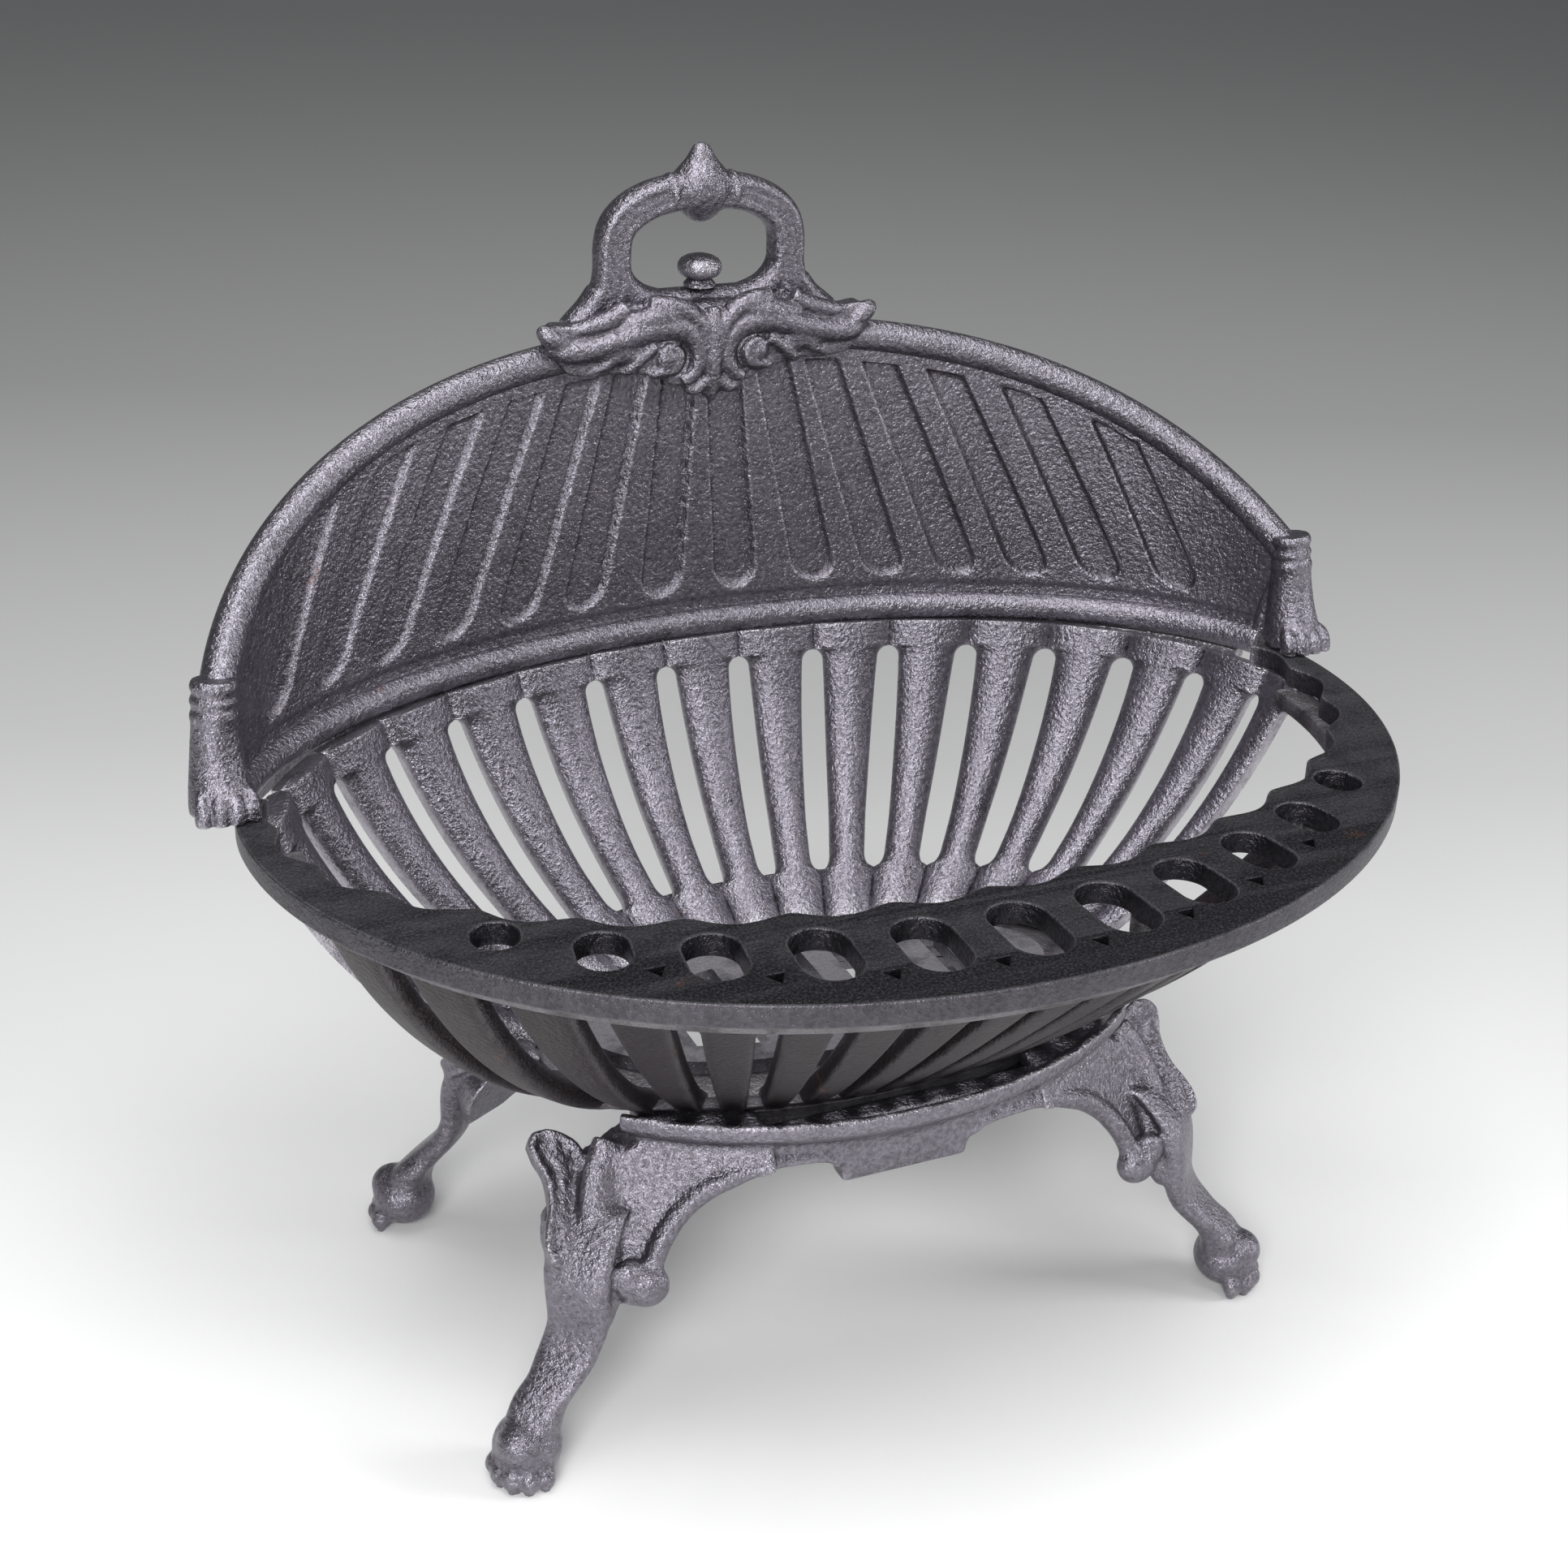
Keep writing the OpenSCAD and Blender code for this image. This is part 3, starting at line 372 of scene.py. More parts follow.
def bar_pitch(turn_a, turn_b):
    """How far apart two turns of the bowl's side are, at the foot and at the top."""
    return [(bowl_side(turn_b, z) - bowl_side(turn_a, z)).length for z in (BOWL_FOOT + 1, BOWL_TOP)]


def slot_share(z):
    """How much of the pitch between two back ribs is open, from the slots' feet to their arches."""
    if not SLOT_LOW < z < SLOT_HIGH:
        return 0.0
    share = 0.0
    for (z0, a), (z1, b) in zip(SLOT_MARKS, SLOT_MARKS[1:]):
        if z0 <= z <= z1:
            share = a + (b - a) * (z - z0) / (z1 - z0)
    top = min(1.0, (SLOT_HIGH - z) / 4.5)
    foot = min(1.0, (z - SLOT_LOW) / 5)
    return share * math.sqrt(1 - (1 - top) ** 2) * math.sqrt(1 - (1 - foot) ** 2)


def back_rib(bm, turn, reach, bulge):
    """A rib, half round inside. Ribs meet over and under the slots. Reach is half the pitch."""
    # Levels lie closer together where the slots begin and end.
    levels = ([118 + 3.75 * i for i in range(4)] + [133 + 0.9 * i for i in range(7)]
              + [139.5 + 4 * i for i in range(18)] + [212.6 + 0.55 * i for i in range(10)]
              + [219 + 2.2 * i for i in range(4)] + [227.4, 228.4, 228.8])
    across = 22
    inner = across * 3 // 4

    def shape(u, v):
        row = round(v * (len(levels) + 1))
        z = levels[min(max(row - 1, 0), len(levels) - 1)]
        half = reach * (1.015 - slot_share(z))
        k = round(u * across) % across
        if row in (0, len(levels) + 1):
            place, deep = 0, 4
        elif k <= inner:
            place = -math.cos(math.pi * k / inner)
            eased = 0.9 if row > len(levels) - 1 else 0
            deep = 5 + bulge * math.sqrt(max(0, 1 - place * place)) - eased
        else:
            place = math.cos(math.pi * (k - inner) / (across - inner))
            deep = 0.5 * place ** 4
        at = turn + half * place
        side = bowl_side(at, z)
        ahead = bowl_side(at, min(z + 1, BOWL_TOP)) - bowl_side(at, z - 1)
        round_way = bowl_side(at + 0.01, z) - bowl_side(at - 0.01, z)
        return side - round_way.cross(ahead).normalized() * deep

    skin(bm, across, len(levels) + 1, shape)


def oval_ring(bm, edge_at, section, start=0.0, end=math.tau, steps=360):
    """A ring that follows edge_at(turn, z). The section gives (inwards, z) places in a loop."""
    full = end - start > 6.28
    count = len(section)

    def shape(u, v):
        column = round(v * (steps + 2))
        share = v if full else min(max(column - 1, 0), steps) / steps
        turn = start + (end - start) * share
        inwards, z = section[round(u * count) % count]
        if not full and column in (0, steps + 2):
            inwards = sum(p[0] for p in section) / count
            z = sum(p[1] for p in section) / count
        out = edge_at(turn + 0.005, z) - edge_at(turn - 0.005, z)
        out = Vector((out.y, -out.x, 0)).normalized()
        return edge_at(turn, z) - out * inwards

    skin(bm, count, steps + 2, shape)


class BASKET_OT_bowl(bpy.types.Operator):
    """Make the slotted bowl with its bars, ribs and rings"""

    bl_idname = "basket.bowl"
    bl_label = "Bowl"

    def execute(self, context):
        sizes = context.scene.basket_sizes
        bm = bmesh.new()
        step = FRONT_DEGREES / sizes.front_bars
        bar_share, bar_thick = 0.68, 9
        for i in range(sizes.front_bars):
            at = (i - (sizes.front_bars - 1) / 2) * step
            foot, top = bar_pitch(front_turn(at - step / 2), front_turn(at + step / 2))
            front_bar(bm, front_turn(at), (bar_share * foot, bar_share * top), bar_thick)
        oval_ring(bm, bowl_side, WAIST_RING)
        oval_ring(bm, rim_at, TOP_RING, math.pi, math.tau)
        oval_ring(bm, foot_ring_at, FOOT_RING)
        for x, y in BOSSES:
            turned(bm, x, y, ((222, 6.8), (225, 6.8), (228, 6.8)), 24)
        # The outer bars and rings are browned iron, darkened with painted shade.
        add_piece("front_bars", bm, "browned_and_shaded_iron", "bowl", ("fire_bowl",), 50)

        bm = bmesh.new()
        step = BACK_DEGREES / sizes.back_ribs
        ribs = sorted(back_turn((i - (sizes.back_ribs - 1) / 2) * step)
                      for i in range(sizes.back_ribs))
        for i, turn in enumerate(ribs):
            before = ribs[i - 1] if i else 0
            after = ribs[i + 1] if i + 1 < len(ribs) else math.pi
            back_rib(bm, turn, (after - before) / 4, 6.6)
        # A flatter wall closes each end.
        for end in (0, math.pi):
            back_rib(bm, abs(end - ribs[0] * 0.23), ribs[0] * 0.3, 2.5)
        oval_ring(bm, hood_seat_at, HOOD_SEAT, math.radians(19), math.radians(161))
        add_piece("back_ribs", bm, "graphite_iron", "bowl", smooth_angle=50)
        return {"FINISHED"}


# The ledge

LEDGE_X, LEDGE_FRONT, LEDGE_BACK = 225, 186.5, 146
LEDGE_END_Y = 30
LEDGE_MIDDLE_Z, LEDGE_HALF_THICK = 233.5, 4.5
INNER_X, INNER_FRONT, SCALLOP = 211, 122.5, 5
HOLE_ROW_X, HOLE_ROW_FRONT, HOLE_PITCH = 211, 153, 9.5
SMALL_ROW_X, SMALL_ROW_FRONT, SMALL_RADIUS = 204, 169, 3.8


def hole_angle(u):
    """Where the hole u steps from the middle one is. The steps grow a little towards the ends."""
    return math.radians(HOLE_PITCH * u * (1 + 0.003 * u * u))


def ledge_edge():
    """The ledge's outline: the smooth outer oval, then the scallops of the inner edge."""
    edge = []
    outer_end = math.degrees(math.asin(LEDGE_END_Y / LEDGE_BACK))
    for i in range(241):
        turn = math.radians(outer_end - (180 + 2 * outer_end) * i / 240)
        c, s = math.cos(turn), math.sin(turn)
        edge.append((LEDGE_X * c, (LEDGE_FRONT if s < 0 else LEDGE_BACK) * s))
    for i in range(361):
        u = -8.75 + 17.5 * i / 360
        out, turn = SCALLOP * abs(math.sin(math.pi * u)) ** 1.5, hole_angle(u)
        y = -(INNER_FRONT + out) * math.cos(turn)
        edge.append(((INNER_X + out) * math.sin(turn), min(y, LEDGE_END_Y)))
    return edge


def long_hole(u):
    """The outline of one oval hole. Those towards the ends are smaller and lean outwards."""
    x, y = HOLE_ROW_X * math.sin(hole_angle(u)), -HOLE_ROW_FRONT * math.cos(hole_angle(u))
    wide, long = 21 * (1 - 0.01 * u * u) / 2, 36 * (1 - 0.02 * u * u) / 2
    lean = 0.3 * hole_angle(u)
    hole = []
    for i in range(64):
        a = math.tau * i / 64
        across, along = wide * math.cos(a), wide * math.sin(a)
        along += math.copysign(long - wide, along)
        hole.append((x + across * math.cos(lean) - along * math.sin(lean),
                     y + across * math.sin(lean) + along * math.cos(lean)))
    return hole


def small_hole(u):
    """The outline of one three-sided hole, in front of the gap between two oval ones."""
    turn = 1.08 * hole_angle(u)
    x, y = SMALL_ROW_X * math.sin(turn), -SMALL_ROW_FRONT * math.cos(turn)
    return [(x + SMALL_RADIUS * math.sin(a), y - SMALL_RADIUS * math.cos(a))
            for a in (0, math.tau / 3, 2 * math.tau / 3)]


def rounded_plate(context, outlines, half_thick, rounding):
    """A flat plate from its outline and its holes' outlines, with rounded edges."""
    curve = bpy.data.curves.new("ledge", "CURVE")
    curve.dimensions = "2D"
    curve.fill_mode = "BOTH"
    curve.bevel_depth = rounding * 0.001
    curve.offset = -rounding * 0.001
    curve.extrude = (half_thick - rounding) * 0.001
    curve.bevel_resolution = 3
    for points in outlines:
        spline = curve.splines.new("POLY")
        spline.points.add(len(points) - 1)
        for point, (x, y) in zip(spline.points, points):
            point.co = (x * 0.001, y * 0.001, 0, 1)
        spline.use_cyclic_u = True
    flat = bpy.data.objects.new("ledge", curve)
    context.scene.collection.objects.link(flat)
    made = bpy.data.meshes.new_from_object(flat.evaluated_get(context.evaluated_depsgraph_get()))
    bpy.data.objects.remove(flat)
    bm = bmesh.new()
    bm.from_mesh(made)
    bpy.data.meshes.remove(made)
    bmesh.ops.scale(bm, vec=TO_MILLIMETRES, verts=bm.verts[:])
    return bm


class BASKET_OT_ledge(bpy.types.Operator):
    """Make the flat front ledge with its oval holes"""

    bl_idname = "basket.ledge"
    bl_label = "Ledge"

    def execute(self, context):
        outlines = [ledge_edge()]
        outlines += [long_hole(u) for u in range(-5, 6)]
        outlines += [small_hole(i - 3.5) for i in range(8)]
        rounding = context.scene.basket_sizes.ledge_rounding
        bm = rounded_plate(context, outlines, LEDGE_HALF_THICK, rounding)
        bmesh.ops.translate(bm, vec=(0, 0, LEDGE_MIDDLE_Z), verts=bm.verts[:])
        bmesh.ops.remove_doubles(bm, verts=bm.verts[:], dist=0.004)
        add_piece("pierced_ledge", bm, "black_topped_iron", "bowl",
                  ("rim_ledge",), 20)
        return {"FINISHED"}


# The hood

HOOD_X, HOOD_Y = 226, 135.5
HOOD_LOW = 229.3
HOOD_END = 13.6
ARCH_FOOT_Z, ARCH_HALF, ARCH_RISE = 248, 237.0, 118.0
# The flutes' feet, in degrees from the middle of the back
FLUTES = (4.4, 13.7, 22, 30.9, 40, 49.8, 61)
FLUTE_FOOT_Z, FLUTE_HALF = 250, 9.6
ROLL_X, ROLL_Y = 229.4, 138.8
PAW_SOLE_Z = 238.5


def arch_z(x, half=ARCH_HALF, rise=ARCH_RISE):
    """The height of the hood's arch at x."""
    return ARCH_FOOT_Z + rise * math.sqrt(max(0.0, 1 - (min(abs(x), half) / half) ** 2.4))


def hood_at(turn, out=0.0, z=0.0):
    """A point of the hood's inner face, moved outwards. The turn starts at the right-hand end."""
    c, s = math.cos(turn), math.sin(turn)
    normal = Vector((c / HOOD_X, s / HOOD_Y, 0)).normalized()
    return Vector((HOOD_X * c, HOOD_Y * s, z)) + normal * out


def flute_depth_at(turn, z, depth, edge):
    """How deep the wall is sunk at a place."""
    side = abs(90 - math.degrees(turn))
    reach = math.hypot(HOOD_X * math.cos(math.radians(side)), HOOD_Y * math.sin(math.radians(side)))
    best = 0.0
    for k, foot in enumerate(FLUTES):
        lean = foot * (0.0046 - 0.00028 * k)
        across = math.radians(side - foot + lean * (z - FLUTE_FOOT_Z)) * reach
        half = FLUTE_HALF - 0.02 * max(0, z - FLUTE_FOOT_Z)
        if abs(across) > half:
            continue
        crown = arch_z(HOOD_X * math.cos(turn)) - 17
        inside = min(half - abs(across), crown - z)
        if z < FLUTE_FOOT_Z + half:
            inside = min(inside, half - math.hypot(across, z - FLUTE_FOOT_Z - half))
        if inside > 0:
            round_off = 0.86 + 0.14 * (1 - (across / half) ** 2)
            best = max(best, depth * blend_step(0, edge, inside) * round_off)
    return best


def fluted_wall(bm, flute_depth, flute_edge):
    """The hood's wall, one closed skin: inner face, top, outer face and foot."""
    rows_in, rows_top, rows_out, rows_foot = 112, 2, 12, 2
    rows = rows_in + rows_top + rows_out + rows_foot
    columns = 640
    first, last = math.radians(HOOD_END), math.radians(180 - HOOD_END)

    def wall(u, v):
        column = round(u * (columns + 2))
        share = min(max(column - 1, 0), columns) / columns
        turn = first + (last - first) * share
        low, high = HOOD_LOW, arch_z(230 * math.cos(turn)) - 3
        from_end = min(math.degrees(turn), 180 - math.degrees(turn))
        thick = 3.4 + 4.6 * blend_step(HOOD_END, 24, from_end)
        if column in (0, columns + 2):
            return hood_at(turn, thick / 2, (low + high) / 2)
        row = round(v * rows)
        if row <= rows_in:
            z = low + (high - low) * row / rows_in
            sunk = flute_depth_at(turn, z, flute_depth, flute_edge)
            recess = 0.9 * blend_step(240, 241.5, z) * (1 - blend_step(245.5, 247, z))
            return hood_at(turn, sunk + recess, z)
        if row <= rows_in + rows_top:
            return hood_at(turn, thick * (row - rows_in) / rows_top, high)
        if row <= rows - rows_foot:
            s = (row - rows_in - rows_top) / rows_out
            return hood_at(turn, thick, high + (low - high) * s)
        return hood_at(turn, thick * (1 - (row - rows + rows_foot) / rows_foot), low)

    skin(bm, columns + 2, rows, wall)


def foot_bead(bm, proud):
    """The half-round bead along the foot of the hood's inner face."""
    sunk = 0.4
    stations = []
    for i in range(201):
        turn = math.radians(14.5) + math.radians(151) * i / 200
        out = hood_at(turn, 1) - hood_at(turn)
        stations.append((hood_at(turn, sunk, 235.5), out * (proud + sunk), Vector((0, 0, 6))))
    rod(bm, stations, 28)


def arch_roll(bm, radius):
    """The round moulding that follows the arch from paw to paw."""
    line = []
    for i in range(241):
        share = i / 240 * 2 - 1
        x = 225.3 * math.sin(math.pi / 2 * share)
        y = ROLL_Y * math.sqrt(1 - (x / ROLL_X) ** 2)
        line.append(Vector((x, y, arch_z(x, 231.0, 112.0) - 0.6)))
    stations = []
    for i, p in enumerate(line):
        along = (line[min(i + 1, 240)] - line[max(i - 1, 0)]).normalized()
        out = Vector((p.x / ROLL_X ** 2, p.y / ROLL_Y ** 2, 0)).normalized()
        up = out.cross(along).normalized()
        out = along.cross(up).normalized()
        stations.append((p, out * radius, up * radius))
    rod(bm, stations, 28)


class BASKET_OT_hood(bpy.types.Operator):
    """Make the fluted hood with its bead and roll"""

    bl_idname = "basket.hood"
    bl_label = "Hood"

    def execute(self, context):
        sizes = context.scene.basket_sizes
        bm = bmesh.new()
        fluted_wall(bm, sizes.flute_depth, sizes.flute_edge)
        add_piece("fluted_wall", bm, "graphite_iron", "hood", ("fluted_hood",), 60)
        bm = bmesh.new()
        foot_bead(bm, sizes.bead_proud)
        add_piece("foot_bead", bm, "graphite_iron", "hood")
        bm = bmesh.new()
        arch_roll(bm, sizes.roll_radius)
        add_piece("arch_roll", bm, "graphite_iron", "hood")
        return {"FINISHED"}


def paw(bm):
    """The right-hand paw: the folded ankle, its heel and four toes, cut flat under the sole."""
    ridge(bm, [(224.4, 29.6, 285, 7.6, 7.4), (224.6, 29.3, 282.6, 8.5, 8.2),
               (224.8, 29, 280, 7.7, 7.6), (225, 28.8, 277.6, 8.6, 8.3),
               (225.2, 28.4, 275, 7.9, 7.8), (225.4, 28, 272.4, 8.7, 8.4),
               (225.6, 27.7, 269, 8.3, 8.2), (226, 27, 262, 8.9, 8.8),
               (226.2, 25.6, 254, 9.9, 9.8), (226.3, 23.6, 247, 11, 11),
               (226.2, 21.6, 242, 11.8, 11.8), (226.2, 20.6, 238.5, 11.8, 12)], FRONTWARD, 4, 36)
    ridge(bm, [(222, 35.5, 234, 6, 4), (222.5, 35, 246, 6.4, 4.6), (223.4, 33.6, 258, 5.6, 4.6),
               (224.6, 31, 270, 5, 4)], FRONTWARD, 6, 24)
    for i in (-1.5, -0.5, 0.5, 1.5):
        x = 226.2 + 5.6 * i
        y = 9.8 + 1.4 * abs(i)
        ridge(bm, [(x * 0.9 + 22.6, y + 5, 247.5, 2, 2), (x, y + 2.2, 245.6, 2.8, 2.8),
                   (x, y + 0.4, 242.6, 3.2, 3.3), (x, y - 0.2, 239.6, 3.2, 3.3),
                   (x, y - 0.2, 237, 3.2, 3.3)], Vector((0, -0.9, 0.4)), 5, 18)
    bmesh.ops.bisect_plane(bm, geom=everything(bm), dist=0.001, plane_co=(0, 0, PAW_SOLE_Z),
                           plane_no=(0, 0, -1), clear_outer=True)
    bmesh.ops.holes_fill(bm, edges=[e for e in bm.edges if e.is_boundary])


class BASKET_OT_paws(bpy.types.Operator):
    """Make the two lion paws that the roll ends in"""

    bl_idname = "basket.paws"
    bl_label = "Paws"

    def execute(self, context):
        bm = bmesh.new()
        paw(bm)
        bm = meld(bm, 0.5 * context.scene.basket_sizes.casting_detail, 3)
        mirror_left(bm)
        add_piece("lion_paws", bm, "graphite_iron", "hood", smooth_angle=60)
        return {"FINISHED"}


# The crest and its handle

CREST_BACK_Y, CREST_THICK = 134, 9.3
# Half of the crest's outline, from the middle of its foot to the middle of its top, as (x, z)
CREST_OUTLINE = ((0, 336), (9, 343), (17, 344), (24, 348.5), (38, 351), (50, 350), (61, 352),
                 (69, 361), (71, 368), (66, 372), (58, 371), (49, 373), (0, 374))
# The relief's strokes on one half: rows of (x, y, z, half width, half height)
CREST_STROKES = {
    "scroll": ((-66, 127.5, 364.5, 4, 4), (-62.5, 126, 361.3, 4.3, 4.3),
               (-54.7, 125.5, 361.2, 4.6, 4.6), (-44, 125, 363.4, 4.8, 4.8), (-34, 125, 366, 5, 5),
               (-24.4, 125, 368, 5, 5), (-14.5, 125, 367.4, 4.8, 4.8), (-8, 125, 363, 4.4, 4.6),
               (-6, 125, 356.5, 4, 4.6), (-8, 125, 349.5, 3.6, 4.2), (-13, 125.5, 345.6, 3.2, 4)),
    "outer leaf": ((-50, 127, 352.5, 2, 3), (-45, 126.2, 355.4, 3, 4.2),
                   (-39.5, 125.6, 359.8, 3.2, 4.6), (-33, 125.6, 363.8, 2.6, 3.8)),
    "middle leaf": ((-38, 127, 351, 2, 3), (-35, 126.2, 352.8, 2.9, 4.2), (-31, 125.6, 357, 3, 4.6),
                    (-24.4, 125.6, 361.4, 2.6, 3.8)),
    "curl": ((-26, 127, 348.6, 1.8, 3), (-23.4, 126, 350.2, 2.6, 4), (-17, 125.6, 351.5, 2.8, 4.4),
             (-14.5, 125.6, 356.5, 2.8, 4.4), (-18.5, 125.6, 360.5, 2.4, 4),
             (-22.6, 125.6, 358, 1.8, 3.6)),
    "top leaf": ((-26, 128, 378, 2.6, 4), (-18, 126.4, 376.6, 3.6, 4.6),
                 (-10, 125.4, 373.6, 4, 4.8), (-4.4, 125, 367.4, 3.6, 4.8),
                 (-2.2, 125, 359, 3, 4.6)),
    "crown leaf": ((-60, 128, 369, 2.4, 3), (-52, 127, 370.2, 3.4, 4), (-43, 127, 372.6, 3.8, 4.2),
                   (-36, 128, 377, 3, 4)),
    "foot leaf": ((-11.5, 126, 343.5, 2.2, 3.4), (-7.5, 125.6, 342, 3, 4.2),
                  (-3, 125.4, 345.5, 2.6, 4)),
}
CREST_STEM = ((0, 125.6, 375, 2.6, 4), (0, 124.6, 368, 3.4, 4.8), (0, 124.4, 358, 4, 5),
              (0, 125, 348, 3.8, 4.8), (0, 126, 340, 2.6, 3.6), (0, 127.4, 335.6, 0.9, 1.6))

HANDLE_Y = 139.5
# The middle of the loop's left or right side, from its foot to the top, as (x, z, half width)
LOOP = ((45, 366, 6.5), (42, 372, 6.2), (39.2, 379, 5.6), (37.6, 388, 5.2), (37.4, 398, 5.2),
        (35.4, 405.5, 5.2), (29.5, 411.6, 5.2), (20, 416, 5), (9, 418, 5))
LOOP_GROOVE = 3.9
ACORN = ((405.6, 1.5), (406.8, 4.6), (409.5, 8), (413.5, 11.2), (417.5, 12.8), (421, 13),
         (424.4, 11.8), (427.4, 9.2), (430.2, 6.6), (433, 4.8), (435.4, 3.6), (436.8, 1.6))
KNOB = ((380.15, 6.5), (381.2, 6.5), (382.2, 5.6), (383, 5.1), (383.8, 5.8), (384.6, 7.6),
        (385.8, 8.6), (387.4, 9), (389.2, 8.8), (390.8, 7.8), (392, 5.8), (392.7, 3.4), (393, 1))


def half_crest(bm, side):
    """The left (-1) or right (1) half of the crest: its plate, strokes and round leaves."""
    corners = [(side * x, CREST_BACK_Y, z) for x, z in CREST_OUTLINE]
    # Both halves reach past the middle, so that they meld.
    corners[0], corners[-1] = (-side, CREST_BACK_Y, 336), (-side, CREST_BACK_Y, 374)
    plate(bm, corners, FRONTWARD * CREST_THICK)
    for rows in CREST_STROKES.values():
        ridge(bm, [(-side * x, *row) for x, *row in rows], FRONTWARD)
    for x, y, z, sizes, lean in (
            (67, 126.4, 367, (7.4, 4.6, 4.2), -0.6), (41, 126, 360, (16, 4.6, 5.6), -0.2),
            (24, 125.6, 372, (16, 5, 5), 0.15), (19.6, 125, 355.6, (5, 4.2, 5), 0)):
        ball(bm, (side * x, y, z), sizes, Matrix.Rotation(side * lean, 4, "Y"))


class BASKET_OT_crest(bpy.types.Operator):
    """Make the leafy crest on the top of the hood"""

    bl_idname = "basket.crest"
    bl_label = "Crest"

    def execute(self, context):
        bm = bmesh.new()
        for side in (-1, 1):
            half_crest(bm, side)
        ridge(bm, CREST_STEM, FRONTWARD)
        bm = meld(bm, 0.72 * context.scene.basket_sizes.casting_detail, 4)
        add_piece("leafy_crest", bm, "graphite_iron", "hood", smooth_angle=60)
        return {"FINISHED"}


def half_loop(bm, side):
    """The left or right half of the loop, with its two edge ribs, its leaves and its collar."""
    y = HANDLE_Y
    ridge(bm, [(side * x, y, z, w + 0.4, 6.3) for x, z, w in LOOP], FRONTWARD, 6, 24)
    for step in (-LOOP_GROOVE, LOOP_GROOVE):
        rows = []
        for i, (x, z, w) in enumerate(LOOP):
            ahead, behind = LOOP[min(i + 1, len(LOOP) - 1)], LOOP[max(i - 1, 0)]
            along = Vector((ahead[0] - behind[0], ahead[1] - behind[1])).normalized()
            rows.append((side * (x + step * along.y), y, z - step * along.x, w * 0.7, 6.5))
        ridge(bm, rows, FRONTWARD, 6, 24)
    ridge(bm, [(side * 58, 137, 368.5, 3, 5.4), (side * 53, 138, 370.5, 4.6, 6.6),
               (side * 47.5, y, 374, 5.4, 7), (side * 43.5, y, 381, 4.4, 6.6)], FRONTWARD, 6, 20)
    ridge(bm, [(side * 18, y, 375, 5, 6.8), (side * 27, y, 377.4, 6, 6.8),
               (side * 32.4, y, 383, 5.4, 6.6), (side * 34.4, y, 390, 4, 6.4)], FRONTWARD, 6, 20)
    collar(bm, (side * 13, y, 417.8), 6.4, 1.6, Matrix.Rotation(math.pi / 2, 4, "Y"))


class BASKET_OT_handle(bpy.types.Operator):
    """Make the loop handle with its acorn and the knob inside it"""

    bl_idname = "basket.handle"
    bl_label = "Handle"

    def execute(self, context):
        bm = bmesh.new()
        y = HANDLE_Y
        for side in (-1, 1):
            half_loop(bm, side)
        ridge(bm, [(-46, y, 371.5, 6, 6.6), (-24, y, 373.2, 6.6, 7), (0, y, 373.2, 6.8, 7.2),
                   (24, y, 373.2, 6.6, 7), (46, y, 371.5, 6, 6.6)], FRONTWARD, 6, 24)
        ridge(bm, [(-44, 132, 368, 5, 7), (0, 131, 370.5, 6, 7.4), (44, 132, 368, 5, 7)],
              FRONTWARD, 6, 20)
        turned(bm, 0, y, ACORN, 32, 0.78)
        collar(bm, (0, y, 412.4), 8.2, 1.5, Matrix.Diagonal((1, 0.8, 1, 1)))
        bm = meld(bm, 0.72 * context.scene.basket_sizes.casting_detail, 4)
        add_piece("loop_handle", bm, "graphite_iron", "hood", ("crest_handle",), 60)

        bm = bmesh.new()
        turned(bm, 0, y, KNOB, 48)
        add_piece("mushroom_knob", bm, "graphite_iron", "hood", ("crest_knob",), 35)
        return {"FINISHED"}


# The stand

# The raised lip and the cove under it, as (outwards, z) places
LIP_SECTION = (
    (0, 130.5), (-0.6, 131), (-2.5, 131), (-5.5, 127.5), (-8.3, 124), (-11, 121), (-13.6, 118.2),
    (-17, 117), (-19, 114), (-19, 108), (-15, 108), (-14.6, 111), (-13, 113.6), (-10, 116.4),
    (-6.5, 119), (-3.4, 121.6), (-1.2, 123.4), (0, 124.6))
LIP_X, LIP_Y, LIP_END_X = 136, 95, 108
APRON = ((-1, 94), (26, 94), (27, 100), (32, 107), (62, 110), (62, 122), (-1, 122))
SHOULDER = (
    (56, 124), (56, 110), (66, 107.5), (79, 102), (90, 94), (98, 85), (103, 76), (107, 66),
    (115, 62.7), (133, 62.7), (135, 75), (133, 84), (128, 90), (121, 102), (108, 112), (98, 119),
    (98, 124))
SEAT_FLANGE = ((-1, -74), (62, -74), (85, -62), (85, -46), (75, -36), (52, -36), (40, -48),
               (-1, -50))
SEAT_PAD = ((54, -74), (74, -74), (74, -36), (54, -36))
# The ear leaf lies on a tilted plane. Its outline and veins are (across, along) places on it.
LEAF_TILT = math.radians(41.5)
LEAF_FACING = Vector((0, -0.66, 0.75))
LEAF_EDGE = (
    (-14, 36), (-14, 29), (-13, 21), (-11, 15), (-8, 10), (-5, 3), (-4, -6), (6, -6), (8, 1),
    (6, 9), (3, 15), (2, 22.5), (2, 28.5), (4, 34.5), (5, 41), (2, 45.5), (-3, 45.5), (-9, 42.5))
LEAF_RIMS = (
    ((6, -4), (7, 2), (5.2, 9), (2.4, 15), (1, 22), (1, 29), (3, 35), (3.6, 41), (0, 44)),
    ((-3, -4), (-4.4, 4), (-7, 10), (-10, 15.4), (-12, 22), (-13, 29), (-13, 36), (-8, 41.4),
     (-2, 44.4)))
